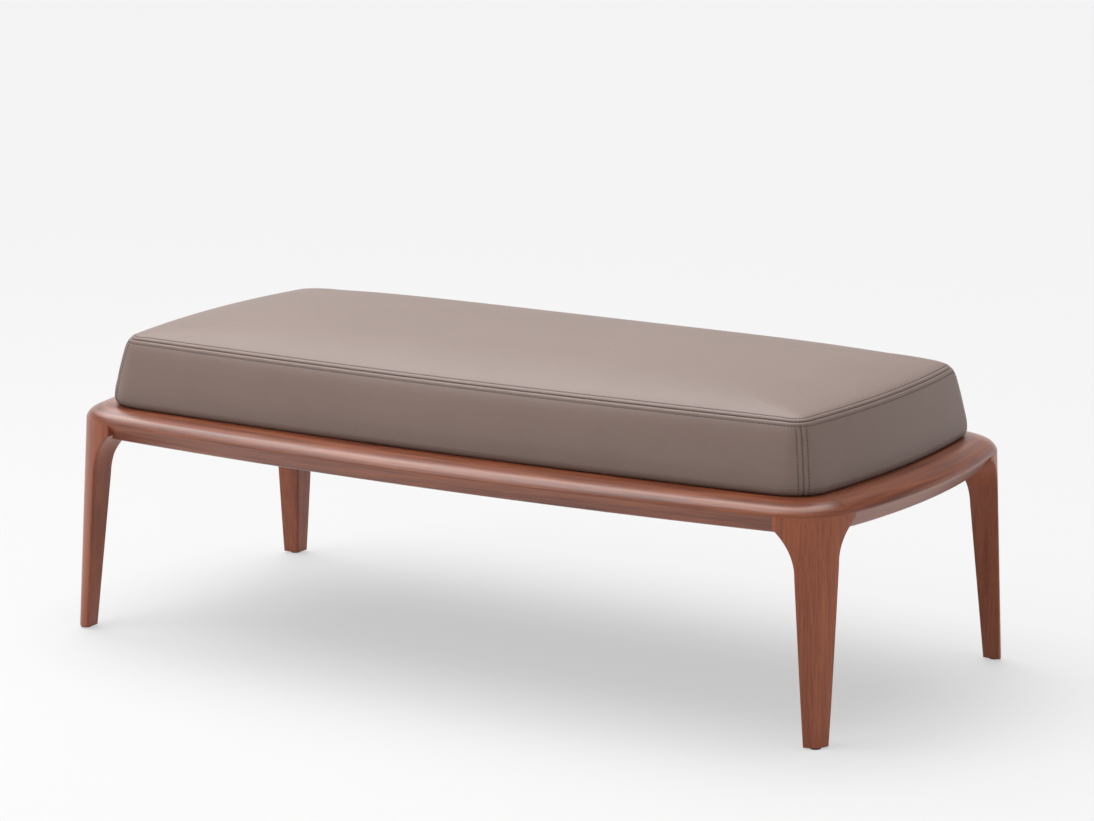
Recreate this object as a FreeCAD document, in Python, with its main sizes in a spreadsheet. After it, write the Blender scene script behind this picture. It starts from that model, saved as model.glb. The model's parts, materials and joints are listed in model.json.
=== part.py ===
import FreeCAD, Part
import math
import os

import Sketcher
from FreeCAD import Placement, Rotation, Vector

doc = FreeCAD.newDocument("upholstered_bench")

# Driving sizes in millimetres. The arris is the sharp outer edge of the wooden rim.
driving_sizes = {
    # rim outline and section
    "bench_length": 1220,
    "bench_width": 590,
    "arris_height": 294,
    "long_bow": 35.5,
    "short_bow": 43,
    "rim_corner": 82.5,
    "rim_width": 66,
    "dome_width": 46,
    "dome_height": 18,
    "dome_shoulder": 19.5,
    "dome_crown": 93.5,
    "band_height": 25,
    "band_inset": 19,
    "band_round": 8,
    "corner_reach": 46,
    # legs and glides
    "leg_width": 40,
    "foot_width": 25,
    "foot_shift_x": 15.5,
    "foot_shift_y": 19,
    "flare_radius": 78,
    "flare_reach": 30,
    "end_flare_radius": 60,
    "end_flare_reach": 34,
    "leg_top_depth": 44,
    "glide_radius": 7,
    "glide_height": 2.5,
    "glide_pin_radius": 1.8,
    "glide_pin_length": 12,
    # braces and cross rails under the seat
    "brace_reach": 41,
    "brace_height": 40,
    "cross_rail_width": 60,
    "cross_rail_height": 40,
    # dowels
    "rim_dowel_radius": 4,
    "rim_dowel_length": 30,
    "cross_dowel_radius": 4,
    "cross_dowel_length": 44,
    "cross_dowel_spacing": 30,
    "leg_dowel_radius": 5,
    "leg_dowel_length": 30,
    "leg_dowel_rise": 10,
    "leg_dowel_inset": 26,
    # bolts, washers, threaded inserts and screws
    "bolt_radius": 4,
    "bolt_clearance": 0.3,
    "bolt_head_radius": 7.5,
    "bolt_head_height": 5.3,
    "bolt_drop": 14,
    "washer_radius": 9,
    "washer_thickness": 1.6,
    "insert_radius": 6,
    "insert_length": 20,
    "screw_radius": 2.5,
    "screw_bite": 13,
    "screw_head_radius": 5,
    "screw_head_height": 3,
    "brace_screw_spacing": 40,
    "brace_screw_setback": 12,
    # seat board and dust cover
    "board_thickness": 18,
    "board_inset": 4,
    "dust_cover_inset": 50,
    "dust_cover_thickness": 0.6,
    # cushion: widest outline near its foot, top seam, crown and layers
    "cushion_end_inset": 45,
    "cushion_side_inset": 40,
    "cushion_long_bow": 22,
    "cushion_short_bow": 25,
    "cushion_corner": 54,
    "cushion_tuck": 7.5,
    "side_height": 93.5,
    "side_lean": 22,
    "seam_corner": 32,
    "crown_height": 26.5,
    "leather_thickness": 1.5,
    "leather_lap": 6,
    "wadding_thickness": 8,
}

# Side sections of the cushion: share of the side height, share of the lean.
belly_share = 0.11
side_shares = [(0.36, 0.18), (0.64, 0.48), (1, 1)]
# Crown sections: share of the seam's half width, share of the crown's height.
crown_shares = [(0.12, 0.4), (0.36, 0.82), (0.7, 1)]
# Growth of a crown section's corner radius, as a share of its inset.
crown_corner_share = 0.15
# Dowels between rail and corner piece, as shares of the rim's width.
rim_dowel_shares = (0.46, 0.79)
leg_dowel_turn = 24
# Places along the bench, as shares of its half length and half width.
cross_rail_share = 0.31
cross_screw_share = 0.4
# Place of the glide on the foot, as a share of the foot's width.
glide_share = 0.47


def sheet_of(name, values):
    sheet = doc.addObject("Spreadsheet::Sheet", name)
    for row, (alias, number) in enumerate(values.items(), start=1):
        sheet.set(f"A{row}", alias)
        sheet.set(f"B{row}", str(number))
        sheet.setAlias(f"B{row}", alias)
    doc.recompute()
    return sheet


sizes = sheet_of("sizes", driving_sizes)


def size(alias):
    return float(sizes.get(alias))


def value(expression):
    result = sizes.evalExpression(expression)
    return float(getattr(result, "Value", result))


def bow_radius(half_chord, bow):
    return (half_chord**2 + bow**2) / (2 * bow)


def corner_centre(long_radius, long_centre, short_radius, short_centre, corner):
    # centre of the circle that touches both bowed sides from inside, in the +X +Y quarter
    long_reach = long_radius - corner
    short_reach = short_radius - corner
    span = math.hypot(short_centre, long_centre)
    along = (long_reach**2 - short_reach**2 + span**2) / (2 * span)
    aside = math.sqrt(long_reach**2 - along**2)
    x = (aside * long_centre - along * short_centre) / span
    y = (along * long_centre + aside * short_centre) / span - long_centre
    return x, y


# Places worked out from the driving sizes.
half_length = size("bench_length") / 2
half_width = size("bench_width") / 2
long_radius = bow_radius(half_length, size("long_bow"))
short_radius = bow_radius(half_width, size("short_bow"))
long_centre = long_radius - half_width
short_centre = short_radius - half_length
corner_x, corner_y = corner_centre(long_radius, long_centre, short_radius, short_centre, size("rim_corner"))
long_angle = math.degrees(math.atan2(corner_x, corner_y + long_centre))
short_angle = math.degrees(math.atan2(corner_y, corner_x + short_centre))
long_run_angle = math.degrees(size("corner_reach") / long_radius)
short_run_angle = math.degrees(size("corner_reach") / short_radius)
band_angle = math.atan2(size("band_height"), size("band_inset"))
band_tangent = size("band_round") * math.tan(band_angle / 2)
# the leg's two flanks start on the rim's corner circle, evenly about the corner's diagonal
leg_corner = (math.sqrt(2 * size("rim_corner") ** 2 - size("leg_width") ** 2) - size("leg_width")) / 2
leg_x = corner_x + leg_corner
leg_y = corner_y + leg_corner
# the braces' inner faces, measured along the diagonal from the corner's centre
brace_face = (size("rim_corner") - size("rim_width")) * math.sqrt(2) - size("brace_reach")
cushion_half_length = half_length - size("cushion_end_inset")
cushion_half_width = half_width - size("cushion_side_inset")
cushion_long_radius = bow_radius(cushion_half_length, size("cushion_long_bow"))
cushion_short_radius = bow_radius(cushion_half_width, size("cushion_short_bow"))
ledge_height = size("arris_height") + size("dome_height")

layout = sheet_of(
    "layout",
    {
        "half_length": half_length,
        "half_width": half_width,
        "long_radius": long_radius,
        "short_radius": short_radius,
        "corner_x": corner_x,
        "corner_y": corner_y,
        "long_rail_angle": long_angle - long_run_angle,
        "short_rail_angle": short_angle - short_run_angle,
        "long_run_angle": long_run_angle,
        "short_run_angle": short_run_angle,
        "bend_angle": 90 - long_angle - short_angle,
        "band_turn_inset": size("band_inset") - band_tangent * math.cos(band_angle),
        "band_turn_rise": band_tangent * math.sin(band_angle),
        "band_floor_inset": size("band_inset") + band_tangent,
        "rim_bottom": size("arris_height") - size("band_height"),
        "ledge_height": ledge_height,
        "brace_face": brace_face,
        "leg_x": leg_x,
        "leg_y": leg_y,
        "foot_x": leg_x + size("foot_shift_x"),
        "foot_y": leg_y + size("foot_shift_y"),
        "board_bottom": ledge_height + size("leather_thickness"),
        "seam_height": ledge_height + size("side_height"),
        "cushion_half_length": cushion_half_length,
        "cushion_half_width": cushion_half_width,
        "cushion_long_radius": cushion_long_radius,
        "cushion_short_radius": cushion_short_radius,
    },
)


def place(name):
    return float(layout.get(name))


def origin_plane(body, role):
    return next(plane for plane in body.Origin.OriginFeatures if plane.Role == role)


def new_sketch(body, name, role):
    sketch = body.newObject("Sketcher::SketchObject", name)
    sketch.AttachmentSupport = [(origin_plane(body, role), "")]
    sketch.MapMode = "FlatFace"
    return sketch


def bind(sketch, constraint, expression):
    index = sketch.addConstraint(constraint)
    sketch.setExpression(f"Constraints[{index}]", expression)


def fix(sketch, kind, geometry, vertex, expression):
    # holds one coordinate of a sketch point at a distance from the sketch's origin
    number = value(expression)
    point = (geometry, vertex)
    if number < 0:
        bind(sketch, Sketcher.Constraint(kind, *point, -1, 1, -number), f"-({expression})")
    else:
        bind(sketch, Sketcher.Constraint(kind, -1, 1, *point, number), expression)


def fix_point(sketch, geometry, vertex, across, up):
    fix(sketch, "DistanceX", geometry, vertex, across)
    fix(sketch, "DistanceY", geometry, vertex, up)


def arc_of(centre, radius, start, end):
    circle = Part.Circle(Vector(centre[0], centre[1], 0), Vector(0, 0, 1), radius)
    return Part.ArcOfCircle(circle, start, end)


def rim_section(body, arc_radius):
    # closed section of the moulding, with its arris arc_radius from the upright axis
    sketch = new_sketch(body, f"{body.Name}_section", "XZ_Plane")
    corners = {
        "arris": (arc_radius, "sizes.arris_height"),
        "ledge_outer": (f"{arc_radius} - sizes.dome_width", "layout.ledge_height"),
        "ledge_inner": (f"{arc_radius} - sizes.rim_width", "layout.ledge_height"),
        "floor_inner": (f"{arc_radius} - sizes.rim_width", "layout.rim_bottom"),
        "floor_outer": (f"{arc_radius} - layout.band_floor_inset", "layout.rim_bottom"),
        "band_foot": (f"{arc_radius} - layout.band_turn_inset", "layout.rim_bottom + layout.band_turn_rise"),
    }
    at = {name: Vector(value(across), value(up), 0) for name, (across, up) in corners.items()}
    shoulder = size("dome_shoulder")
    crown = size("dome_crown")
    # the shoulder circle passes through the arris and touches the crown circle from inside
    crown_centre = at["ledge_outer"] - Vector(0, crown, 0)
    span = at["arris"] - crown_centre
    along = ((crown - shoulder) ** 2 - shoulder**2 + span.Length**2) / (2 * span.Length)
    aside = math.sqrt((crown - shoulder) ** 2 - along**2)
    unit = span / span.Length
    shoulder_centre = crown_centre + unit * along + Vector(-unit.y, unit.x, 0) * aside
    rim_out = at["arris"] - shoulder_centre
    knee_out = shoulder_centre - crown_centre
    knee_angle = math.atan2(knee_out.y, knee_out.x)
    shoulder_arc = arc_of(shoulder_centre, shoulder, math.atan2(rim_out.y, rim_out.x), knee_angle)
    crown_arc = arc_of(crown_centre, crown, knee_angle, math.pi / 2)
    turn_radius = size("band_round")
    turn_centre = at["floor_outer"] + Vector(0, turn_radius, 0)
    turn_arc = arc_of(turn_centre, turn_radius, -math.pi / 2, band_angle - math.pi / 2)
    dome, top, ledge, inner, floor, turn, band = sketch.addGeometry(
        [
            shoulder_arc,
            crown_arc,
            Part.LineSegment(at["ledge_outer"], at["ledge_inner"]),
            Part.LineSegment(at["ledge_inner"], at["floor_inner"]),
            Part.LineSegment(at["floor_inner"], at["floor_outer"]),
            turn_arc,
            Part.LineSegment(at["band_foot"], at["arris"]),
        ]
    )
    sketch.addConstraint(
        [
            Sketcher.Constraint("Tangent", dome, 2, top, 1),
            Sketcher.Constraint("Tangent", top, 2, ledge, 1),
            Sketcher.Constraint("Coincident", ledge, 2, inner, 1),
            Sketcher.Constraint("Coincident", inner, 2, floor, 1),
            Sketcher.Constraint("Tangent", floor, 2, turn, 1),
            Sketcher.Constraint("Coincident", turn, 2, band, 1),
            Sketcher.Constraint("Coincident", band, 2, dome, 1),
        ]
    )
    bind(sketch, Sketcher.Constraint("Radius", dome, shoulder), "sizes.dome_shoulder")
    bind(sketch, Sketcher.Constraint("Radius", top, crown), "sizes.dome_crown")
    fix_point(sketch, dome, 1, *corners["arris"])
    fix_point(sketch, ledge, 1, *corners["ledge_outer"])
    fix_point(sketch, ledge, 2, *corners["ledge_inner"])
    fix_point(sketch, floor, 1, *corners["floor_inner"])
    fix_point(sketch, floor, 2, *corners["floor_outer"])
    fix_point(sketch, band, 1, *corners["band_foot"])
    return sketch


def rim_stretch(name, arc_radius, centre, start_angle, sweep):
    # one stretch of the rim: its section turned about the centre of that stretch's arc
    body = doc.addObject("PartDesign::Body", name)
    section = rim_section(body, arc_radius)
    turned = body.newObject("PartDesign::Revolution", f"{name}_turn")
    turned.Profile = section
    turned.ReferenceAxis = (section, ["V_Axis"])
    turned.setExpression("Angle", sweep)
    body.Placement = Placement(Vector(centre[0], centre[1], 0), Rotation(Vector(0, 0, 1), start_angle))
    return body


def outline_sketch(body, name, height, length_half, width_half, long_arc, short_arc, corner):
    # level outline of eight arcs: four bowed sides joined by four round corners
    sketch = new_sketch(body, name, "XY_Plane")
    sketch.setExpression("AttachmentOffset.Base.z", height)
    long_turn = value(long_arc)
    short_turn = value(short_arc)
    corner_turn = value(corner)
    long_back = long_turn - value(width_half)
    short_back = short_turn - value(length_half)
    x, y = corner_centre(long_turn, long_back, short_turn, short_back, corner_turn)
    rise = math.atan2(y, x + short_back)
    steep = math.pi / 2 - math.atan2(x, y + long_back)
    half_turn = math.pi
    full_turn = 2 * math.pi
    right, _, back, _, left, _, front, _ = arcs = sketch.addGeometry(
        [
            arc_of((-short_back, 0), short_turn, -rise, rise),
            arc_of((x, y), corner_turn, rise, steep),
            arc_of((0, -long_back), long_turn, steep, half_turn - steep),
            arc_of((-x, y), corner_turn, half_turn - steep, half_turn - rise),
            arc_of((short_back, 0), short_turn, half_turn - rise, half_turn + rise),
            arc_of((-x, -y), corner_turn, half_turn + rise, half_turn + steep),
            arc_of((0, long_back), long_turn, half_turn + steep, full_turn - steep),
            arc_of((x, -y), corner_turn, full_turn - steep, full_turn - rise),
        ]
    )
    for arc, following in zip(arcs, arcs[1:] + arcs[:1]):
        sketch.addConstraint(Sketcher.Constraint("Tangent", arc, 2, following, 1))
    for side in (right, left):
        sketch.addConstraint(Sketcher.Constraint("PointOnObject", side, 3, -1))
        bind(sketch, Sketcher.Constraint("Radius", side, short_turn), short_arc)
    for side in (back, front):
        sketch.addConstraint(Sketcher.Constraint("PointOnObject", side, 3, -2))
        bind(sketch, Sketcher.Constraint("Radius", side, long_turn), long_arc)
    for bend in arcs[1::2]:
        bind(sketch, Sketcher.Constraint("Radius", bend, corner_turn), corner)
    fix(sketch, "DistanceX", right, 3, f"{length_half} - ({short_arc})")
    fix(sketch, "DistanceX", left, 3, f"{short_arc} - ({length_half})")
    fix(sketch, "DistanceY", back, 3, f"{width_half} - ({long_arc})")
    fix(sketch, "DistanceY", front, 3, f"{long_arc} - ({width_half})")
    return sketch


def plate(name, height, thickness, *outline):
    body = doc.addObject("PartDesign::Body", name)
    sketch = outline_sketch(body, f"{name}_outline", height, *outline)
    pad = body.newObject("PartDesign::Pad", f"{name}_pad")
    pad.Profile = sketch
    pad.setExpression("Length", thickness)
    return body


def lofted(name, sections):
    body = doc.addObject("PartDesign::Body", name)
    sketches = []
    for number, section in enumerate(sections):
        sketches.append(outline_sketch(body, f"{name}_{number}", *section))
    loft = body.newObject("PartDesign::AdditiveLoft", f"{name}_loft")
    loft.Profile = sketches[0]
    loft.Sections = sketches[1:]
    return body


def boolean(kind, base, tool):
    result = doc.addObject(f"Part::{kind}", f"{base.Name}_{kind.lower()}")
    result.Base = base
    result.Tool = tool
    return result


def cut(base, *tools):
    for tool in tools:
        base = boolean("Cut", base, tool)
    return base


def common(base, tool):
    return boolean("Common", base, tool)


def group(name, *members):
    compound = doc.addObject("Part::Compound", name)
    compound.Links = list(members)
    return compound


def mirrored(source, normal):
    mirror = doc.addObject("Part::Mirroring", f"{source.Name}_mirror")
    mirror.Source = source
    mirror.Normal = normal
    return mirror


across = Vector(1, 0, 0)
along_depth = Vector(0, 1, 0)


def four_of(source):
    # the back right piece and its mirror images, by corner
    back_left = mirrored(source, across)
    return {
        "back_right": source,
        "back_left": back_left,
        "front_right": mirrored(source, along_depth),
        "front_left": mirrored(back_left, along_depth),
    }


def four_group(name, *members):
    return group(name, *four_of(group(f"{name}_quarter", *members)).values())


def cylinder(name, radius, height, base, rotation=Rotation()):
    rod = doc.addObject("Part::Cylinder", name)
    rod.setExpression("Radius", radius)
    rod.setExpression("Height", height)
    rod.Placement = Placement(base, rotation)
    return rod


def box(name, length, width, height, base, rotation=Rotation()):
    block = doc.addObject("Part::Box", name)
    block.setExpression("Length", length)
    block.setExpression("Width", width)
    block.setExpression("Height", height)
    block.Placement = Placement(base, rotation)
    return block


pieces = {}


def keep(name, piece):
    piece.Label = name
    pieces[name] = piece
    return piece


def keep_corners(name, source):
    for corner, piece in four_of(source).items():
        keep(f"{name}_{corner}", piece)


upright_to_depth = Rotation(Vector(1, 0, 0), -90)
upright_to_across = Rotation(Vector(0, 1, 0), 90)
diagonal = Rotation(Vector(0, 0, 1), 45)
corner_point = Vector(corner_x, corner_y, 0)
long_point = Vector(0, -long_centre, 0)
short_point = Vector(-short_centre, 0, 0)

# Rim blanks: two kinds of rail, and a corner piece of one bend between two short runs.
long_rail_angle = place("long_rail_angle")
short_rail_angle = place("short_rail_angle")
back_rail_blank = rim_stretch(
    "back_rail_blank", "layout.long_radius", long_point, 90 - long_rail_angle, "2 * layout.long_rail_angle"
)
right_rail_blank = rim_stretch(
    "right_rail_blank", "layout.short_radius", short_point, -short_rail_angle, "2 * layout.short_rail_angle"
)
corner_blank = doc.addObject("Part::MultiFuse", "corner_blank")
corner_blank.Shapes = [
    rim_stretch("corner_bend", "sizes.rim_corner", corner_point, short_angle, "layout.bend_angle"),
    rim_stretch("corner_long_run", "layout.long_radius", long_point, 90 - long_angle, "layout.long_run_angle"),
    rim_stretch("corner_short_run", "layout.short_radius", short_point, short_rail_angle, "layout.short_run_angle"),
]
rim_opening = plate(
    "rim_opening",
    "0",
    "layout.ledge_height + sizes.side_height",
    "layout.half_length - sizes.rim_width",
    "layout.half_width - sizes.rim_width",
    "layout.long_radius - sizes.rim_width",
    "layout.short_radius - sizes.rim_width",
    "sizes.rim_corner - sizes.rim_width",
)


def rim_dowel(name, centre, angle, arc_radius, inset):
    # a dowel square to the joint between a rail and a corner piece, half in each
    middle = (place("rim_bottom") + ledge_height) / 2
    turn = Rotation(Vector(0, 0, 1), angle)
    start = Vector(arc_radius - inset, -size("rim_dowel_length") / 2, middle)
    rotation = turn.multiply(upright_to_depth)
    return cylinder(name, "sizes.rim_dowel_radius", "sizes.rim_dowel_length", centre + turn.multVec(start), rotation)


quarter_dowels = []
for row, share in enumerate(rim_dowel_shares):
    inset = size("rim_width") * share
    long_joint = 90 - long_rail_angle
    quarter_dowels.append(rim_dowel(f"long_dowel_{row}", long_point, long_joint, long_radius, inset))
    quarter_dowels.append(rim_dowel(f"short_dowel_{row}", short_point, short_rail_angle, short_radius, inset))
rim_dowels = keep("rim_dowels", four_group("rim_dowel_set", *quarter_dowels))

# Cross rails between the long rails, each held by two dowels at either end.
member_top = ledge_height
cross_bottom = member_top - size("cross_rail_height")
cross_middle = member_top - size("cross_rail_height") / 2
cross_x = half_length * cross_rail_share
inner_long_radius = long_radius - size("rim_width")
cross_dowel_quarter = []
for side in (-1, 1):
    x = cross_x + side * size("cross_dowel_spacing") / 2
    inner_face = math.sqrt(inner_long_radius**2 - x**2) - long_centre
    start = Vector(x, inner_face - size("cross_dowel_length") / 2, cross_middle)
    cross_dowel_quarter.append(
        cylinder(
            f"cross_dowel_{len(cross_dowel_quarter)}",
            "sizes.cross_dowel_radius",
            "sizes.cross_dowel_length",
            start,
            upright_to_depth,
        )
    )
cross_dowels = keep("cross_rail_dowels", four_group("cross_dowel_set", *cross_dowel_quarter))
cross_rail_blank = common(
    box(
        "cross_rail_stock",
        "sizes.cross_rail_width",
        "sizes.bench_width",
        "sizes.cross_rail_height",
        Vector(cross_x - size("cross_rail_width") / 2, -half_width, cross_bottom),
    ),
    rim_opening,
)

# Corner braces: blocks across the inner corners, square to the diagonals.
brace_bottom = member_top - size("brace_height")
brace_blank = common(
    box(
        "brace_stock",
        "sizes.rim_corner - layout.brace_face",
        "2 * sizes.rim_corner",
        "sizes.brace_height",
        corner_point
        + diagonal.multVec(Vector(brace_face, -size("rim_corner"), 0))
        + Vector(0, 0, brace_bottom),
        diagonal,
    ),
    rim_opening,
)


def seat_screw(name, point, member_height):
    # countersunk screw from the underside of a brace or cross rail up into the seat board
    shank = cylinder(f"{name}_shank", "sizes.screw_radius", f"{member_height} + sizes.screw_bite", point)
    head = doc.addObject("Part::Cone", f"{name}_head")
    head.setExpression("Radius1", "sizes.screw_head_radius")
    head.setExpression("Radius2", "sizes.screw_radius")
    head.setExpression("Height", "sizes.screw_head_height")
    head.Placement = Placement(point, Rotation())
    return boolean("Fuse", shank, head)


brace_screws = []
for side in (-1, 1):
    setback = brace_face + size("brace_screw_setback")
    spot = diagonal.multVec(Vector(setback, side * size("brace_screw_spacing") / 2, 0))
    point = corner_point + spot + Vector(0, 0, brace_bottom)
    brace_screws.append(seat_screw(f"brace_screw_{len(brace_screws)}", point, "sizes.brace_height"))
cross_screw = seat_screw(
    "cross_screw", Vector(cross_x, half_width * cross_screw_share, cross_bottom), "sizes.cross_rail_height"
)
seat_screws = keep("seat_screws", four_group("seat_screw_set", *brace_screws, cross_screw))

# Leg: a slice of the slanted cone between the rim's corner circle and the foot's circle. Each
# flank is flat on the shaft, then sweeps out in a round of its own to meet the rim.
foot_point = Vector(place("foot_x"), place("foot_y"), size("glide_height"))


def level_circle(name, radius, point):
    circle = doc.addObject("Part::Circle", name)
    circle.setExpression("Radius", radius)
    circle.Placement = Placement(point, Rotation())
    return circle


leg_cone = doc.addObject("Part::Loft", "leg_cone")
leg_cone.Sections = [
    level_circle("foot_circle", "sizes.foot_width", foot_point),
    level_circle("corner_circle", "sizes.rim_corner", corner_point + Vector(0, 0, size("arris_height"))),
]
leg_cone.Solid = True
leg_cone.Ruled = True


def leg_elevation(name, role, flare, reach, foot, shaft, outside, depth):
    # side view of the leg: shaft edge, round out to the reach and tip, open to the outside of the bench
    body = doc.addObject("PartDesign::Body", name)
    sketch = new_sketch(body, f"{name}_outline", role)
    flare_radius = value(flare)
    start_height = f"sizes.arris_height - {flare}"
    tip_height = f"{start_height} + sqrt({reach} * (2 * {flare} - {reach}))"
    tip = f"{shaft} - {reach}"
    corners = [
        (foot, "sizes.glide_height"),
        (shaft, start_height),
        (tip, tip_height),
        (tip, "sizes.arris_height"),
        (outside, "sizes.arris_height"),
        (outside, "sizes.glide_height"),
    ]
    at = [Vector(value(sideways), value(up), 0) for sideways, up in corners]
    flare_centre = at[1] - Vector(flare_radius, 0, 0)
    flare_end = math.acos((flare_radius - value(reach)) / flare_radius)
    edges = sketch.addGeometry(
        [
            Part.LineSegment(at[0], at[1]),
            arc_of(flare_centre, flare_radius, 0, flare_end),
            Part.LineSegment(at[2], at[3]),
            Part.LineSegment(at[3], at[4]),
            Part.LineSegment(at[4], at[5]),
            Part.LineSegment(at[5], at[0]),
        ]
    )
    for edge, following in zip(edges, edges[1:] + edges[:1]):
        sketch.addConstraint(Sketcher.Constraint("Coincident", edge, 2, following, 1))
    for edge, (sideways, up) in zip(edges, corners):
        fix_point(sketch, edge, 1, sideways, up)
    bind(sketch, Sketcher.Constraint("Radius", edges[1], flare_radius), flare)
    pad = body.newObject("PartDesign::Pad", f"{name}_pad")
    pad.Profile = sketch
    pad.setExpression("Length", depth)
    pad.Midplane = True
    return body


front_elevation = leg_elevation(
    "leg_front_elevation",
    "XZ_Plane",
    "sizes.flare_radius",
    "sizes.flare_reach",
    "layout.foot_x",
    "layout.leg_x",
    "layout.half_length",
    "sizes.bench_width",
)
end_elevation = leg_elevation(
    "leg_end_elevation",
    "YZ_Plane",
    "sizes.end_flare_radius",
    "sizes.end_flare_reach",
    "layout.foot_y",
    "layout.leg_y",
    "layout.half_width",
    "sizes.bench_length",
)
leg_hollow = cylinder(
    "leg_hollow", "sizes.rim_corner - sizes.leg_top_depth", "sizes.arris_height", corner_point
)
leg_elevations = common(front_elevation, end_elevation)
leg_blank = cut(common(leg_elevations, leg_cone), leg_hollow)
# the rim's corner lies inside the leg's cone, so its seat needs only the elevations
leg_seat = cut(leg_elevations, leg_hollow)

# Leg fixings: two upright dowels and a bolt along the diagonal into a threaded insert.
leg_dowel_pair = []
for side in (-1, 1):
    direction = Rotation(Vector(0, 0, 1), 45 + side * leg_dowel_turn)
    spot = direction.multVec(Vector(size("rim_corner") - size("leg_dowel_inset"), 0, 0))
    lift = size("arris_height") + size("leg_dowel_rise") - size("leg_dowel_length")
    leg_dowel_pair.append(
        cylinder(
            f"leg_dowel_{len(leg_dowel_pair)}",
            "sizes.leg_dowel_radius",
            "sizes.leg_dowel_length",
            corner_point + spot + Vector(0, 0, lift),
        )
    )
leg_dowels = keep("leg_dowels", four_group("leg_dowel_set", *leg_dowel_pair))

bolt_turn = diagonal.multiply(upright_to_across)
bolt_height = Vector(0, 0, size("arris_height") - size("bolt_drop"))
insert_start = size("rim_corner") - size("leg_top_depth")


def on_diagonal(distance):
    return corner_point + diagonal.multVec(Vector(distance, 0, 0)) + bolt_height


bolt_start = brace_face - size("washer_thickness")
bolt_length = (
    "sizes.rim_corner - sizes.leg_top_depth + sizes.insert_length + sizes.washer_thickness - layout.brace_face"
)
bolt_shank = cylinder("bolt_shank", "sizes.bolt_radius", bolt_length, on_diagonal(bolt_start), bolt_turn)
bolt_hole = cylinder(
    "bolt_hole", "sizes.bolt_radius + sizes.bolt_clearance", bolt_length, on_diagonal(bolt_start), bolt_turn
)
bolt_head = doc.addObject("Part::Prism", "bolt_head")
bolt_head.Polygon = 6
bolt_head.setExpression("Circumradius", "sizes.bolt_head_radius")
bolt_head.setExpression("Height", "sizes.bolt_head_height")
bolt_head.Placement = Placement(on_diagonal(bolt_start - size("bolt_head_height")), bolt_turn)
washer_disc = cylinder(
    "washer_disc", "sizes.washer_radius", "sizes.washer_thickness", on_diagonal(bolt_start), bolt_turn
)
insert_sleeve = cylinder(
    "insert_sleeve", "sizes.insert_radius", "sizes.insert_length", on_diagonal(insert_start), bolt_turn
)
keep("leg_bolts", four_group("leg_bolt_set", boolean("Fuse", bolt_shank, bolt_head)))
keep("leg_washers", four_group("leg_washer_set", cut(washer_disc, bolt_hole)))
keep("leg_inserts", four_group("leg_insert_set", cut(insert_sleeve, bolt_shank)))

# Glides: a disc under each foot with a pin up into the leg.
glide_offset = size("foot_width") * glide_share
glide_point = Vector(place("foot_x") + glide_offset, place("foot_y") + glide_offset, 0)
glide = boolean(
    "Fuse",
    cylinder("glide_disc", "sizes.glide_radius", "sizes.glide_height", glide_point),
    cylinder("glide_pin", "sizes.glide_pin_radius", "sizes.glide_height + sizes.glide_pin_length", glide_point),
)

# Wooden pieces with their seats and holes.
keep_corners("leg", cut(leg_blank, insert_sleeve, bolt_hole, leg_dowels, glide))
keep_corners("rim_corner", cut(corner_blank, leg_seat, rim_dowels, leg_dowels, bolt_hole))
keep_corners("corner_brace", cut(brace_blank, bolt_hole, seat_screws))
keep_corners("foot_glide", glide)
back_rail = keep("back_rail", cut(back_rail_blank, rim_dowels, cross_dowels))
keep("front_rail", mirrored(back_rail, along_depth))
right_rail = keep("right_rail", cut(right_rail_blank, rim_dowels))
keep("left_rail", mirrored(right_rail, across))
right_cross_rail = keep("cross_rail_right", cut(cross_rail_blank, cross_dowels, seat_screws))
keep("cross_rail_left", mirrored(right_cross_rail, across))


def cushion_outline(inset, corner):
    return (
        f"layout.cushion_half_length - ({inset})",
        f"layout.cushion_half_width - ({inset})",
        "layout.cushion_long_radius",
        "layout.cushion_short_radius",
        corner,
    )


def side_form(name, skin):
    # the cushion's sides: tucked in at the foot, widest just above it, leaning in to the seam
    def section(share, inset):
        corner = f"sizes.cushion_corner + (sizes.seam_corner - sizes.cushion_corner) * {share} - {skin}"
        return (f"layout.ledge_height + sizes.side_height * {share}", *cushion_outline(f"{inset} + {skin}", corner))

    foot = (
        f"layout.ledge_height + {skin}",
        *cushion_outline(f"sizes.cushion_tuck + {skin}", f"sizes.cushion_corner - {skin}"),
    )
    belly = section(belly_share, "0")
    leaning = [section(share, f"sizes.side_lean * {lean}") for share, lean in side_shares]
    return lofted(name, [foot, belly, *leaning])


def crown_form(name, skin, drop):
    # the domed top above the seam, drawn in by skin and lowered by drop
    seam_half = "(layout.cushion_half_width - sizes.side_lean)"
    seam_corner = f"sizes.seam_corner - {skin}"
    sections = [(f"layout.seam_height - ({drop})", *cushion_outline(f"sizes.side_lean + {skin}", seam_corner))]
    for inset_share, rise_share in crown_shares:
        inset = f"{seam_half} * {inset_share}"
        corner = f"{seam_corner} + {inset} * {crown_corner_share}"
        sections.append(
            (
                f"layout.seam_height + sizes.crown_height * {rise_share} - ({drop})",
                *cushion_outline(f"sizes.side_lean + {skin} + {inset}", corner),
            )
        )
    return lofted(name, sections)


# Seat board under the cushion, screwed to the braces and cross rails.
board_tuck = "sizes.cushion_tuck + sizes.leather_thickness + sizes.board_inset"
board_blank = plate(
    "seat_board_blank",
    "layout.board_bottom",
    "sizes.board_thickness",
    *cushion_outline(board_tuck, "sizes.cushion_corner - sizes.leather_thickness - sizes.board_inset"),
)
keep("seat_board", cut(board_blank, seat_screws))

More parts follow.
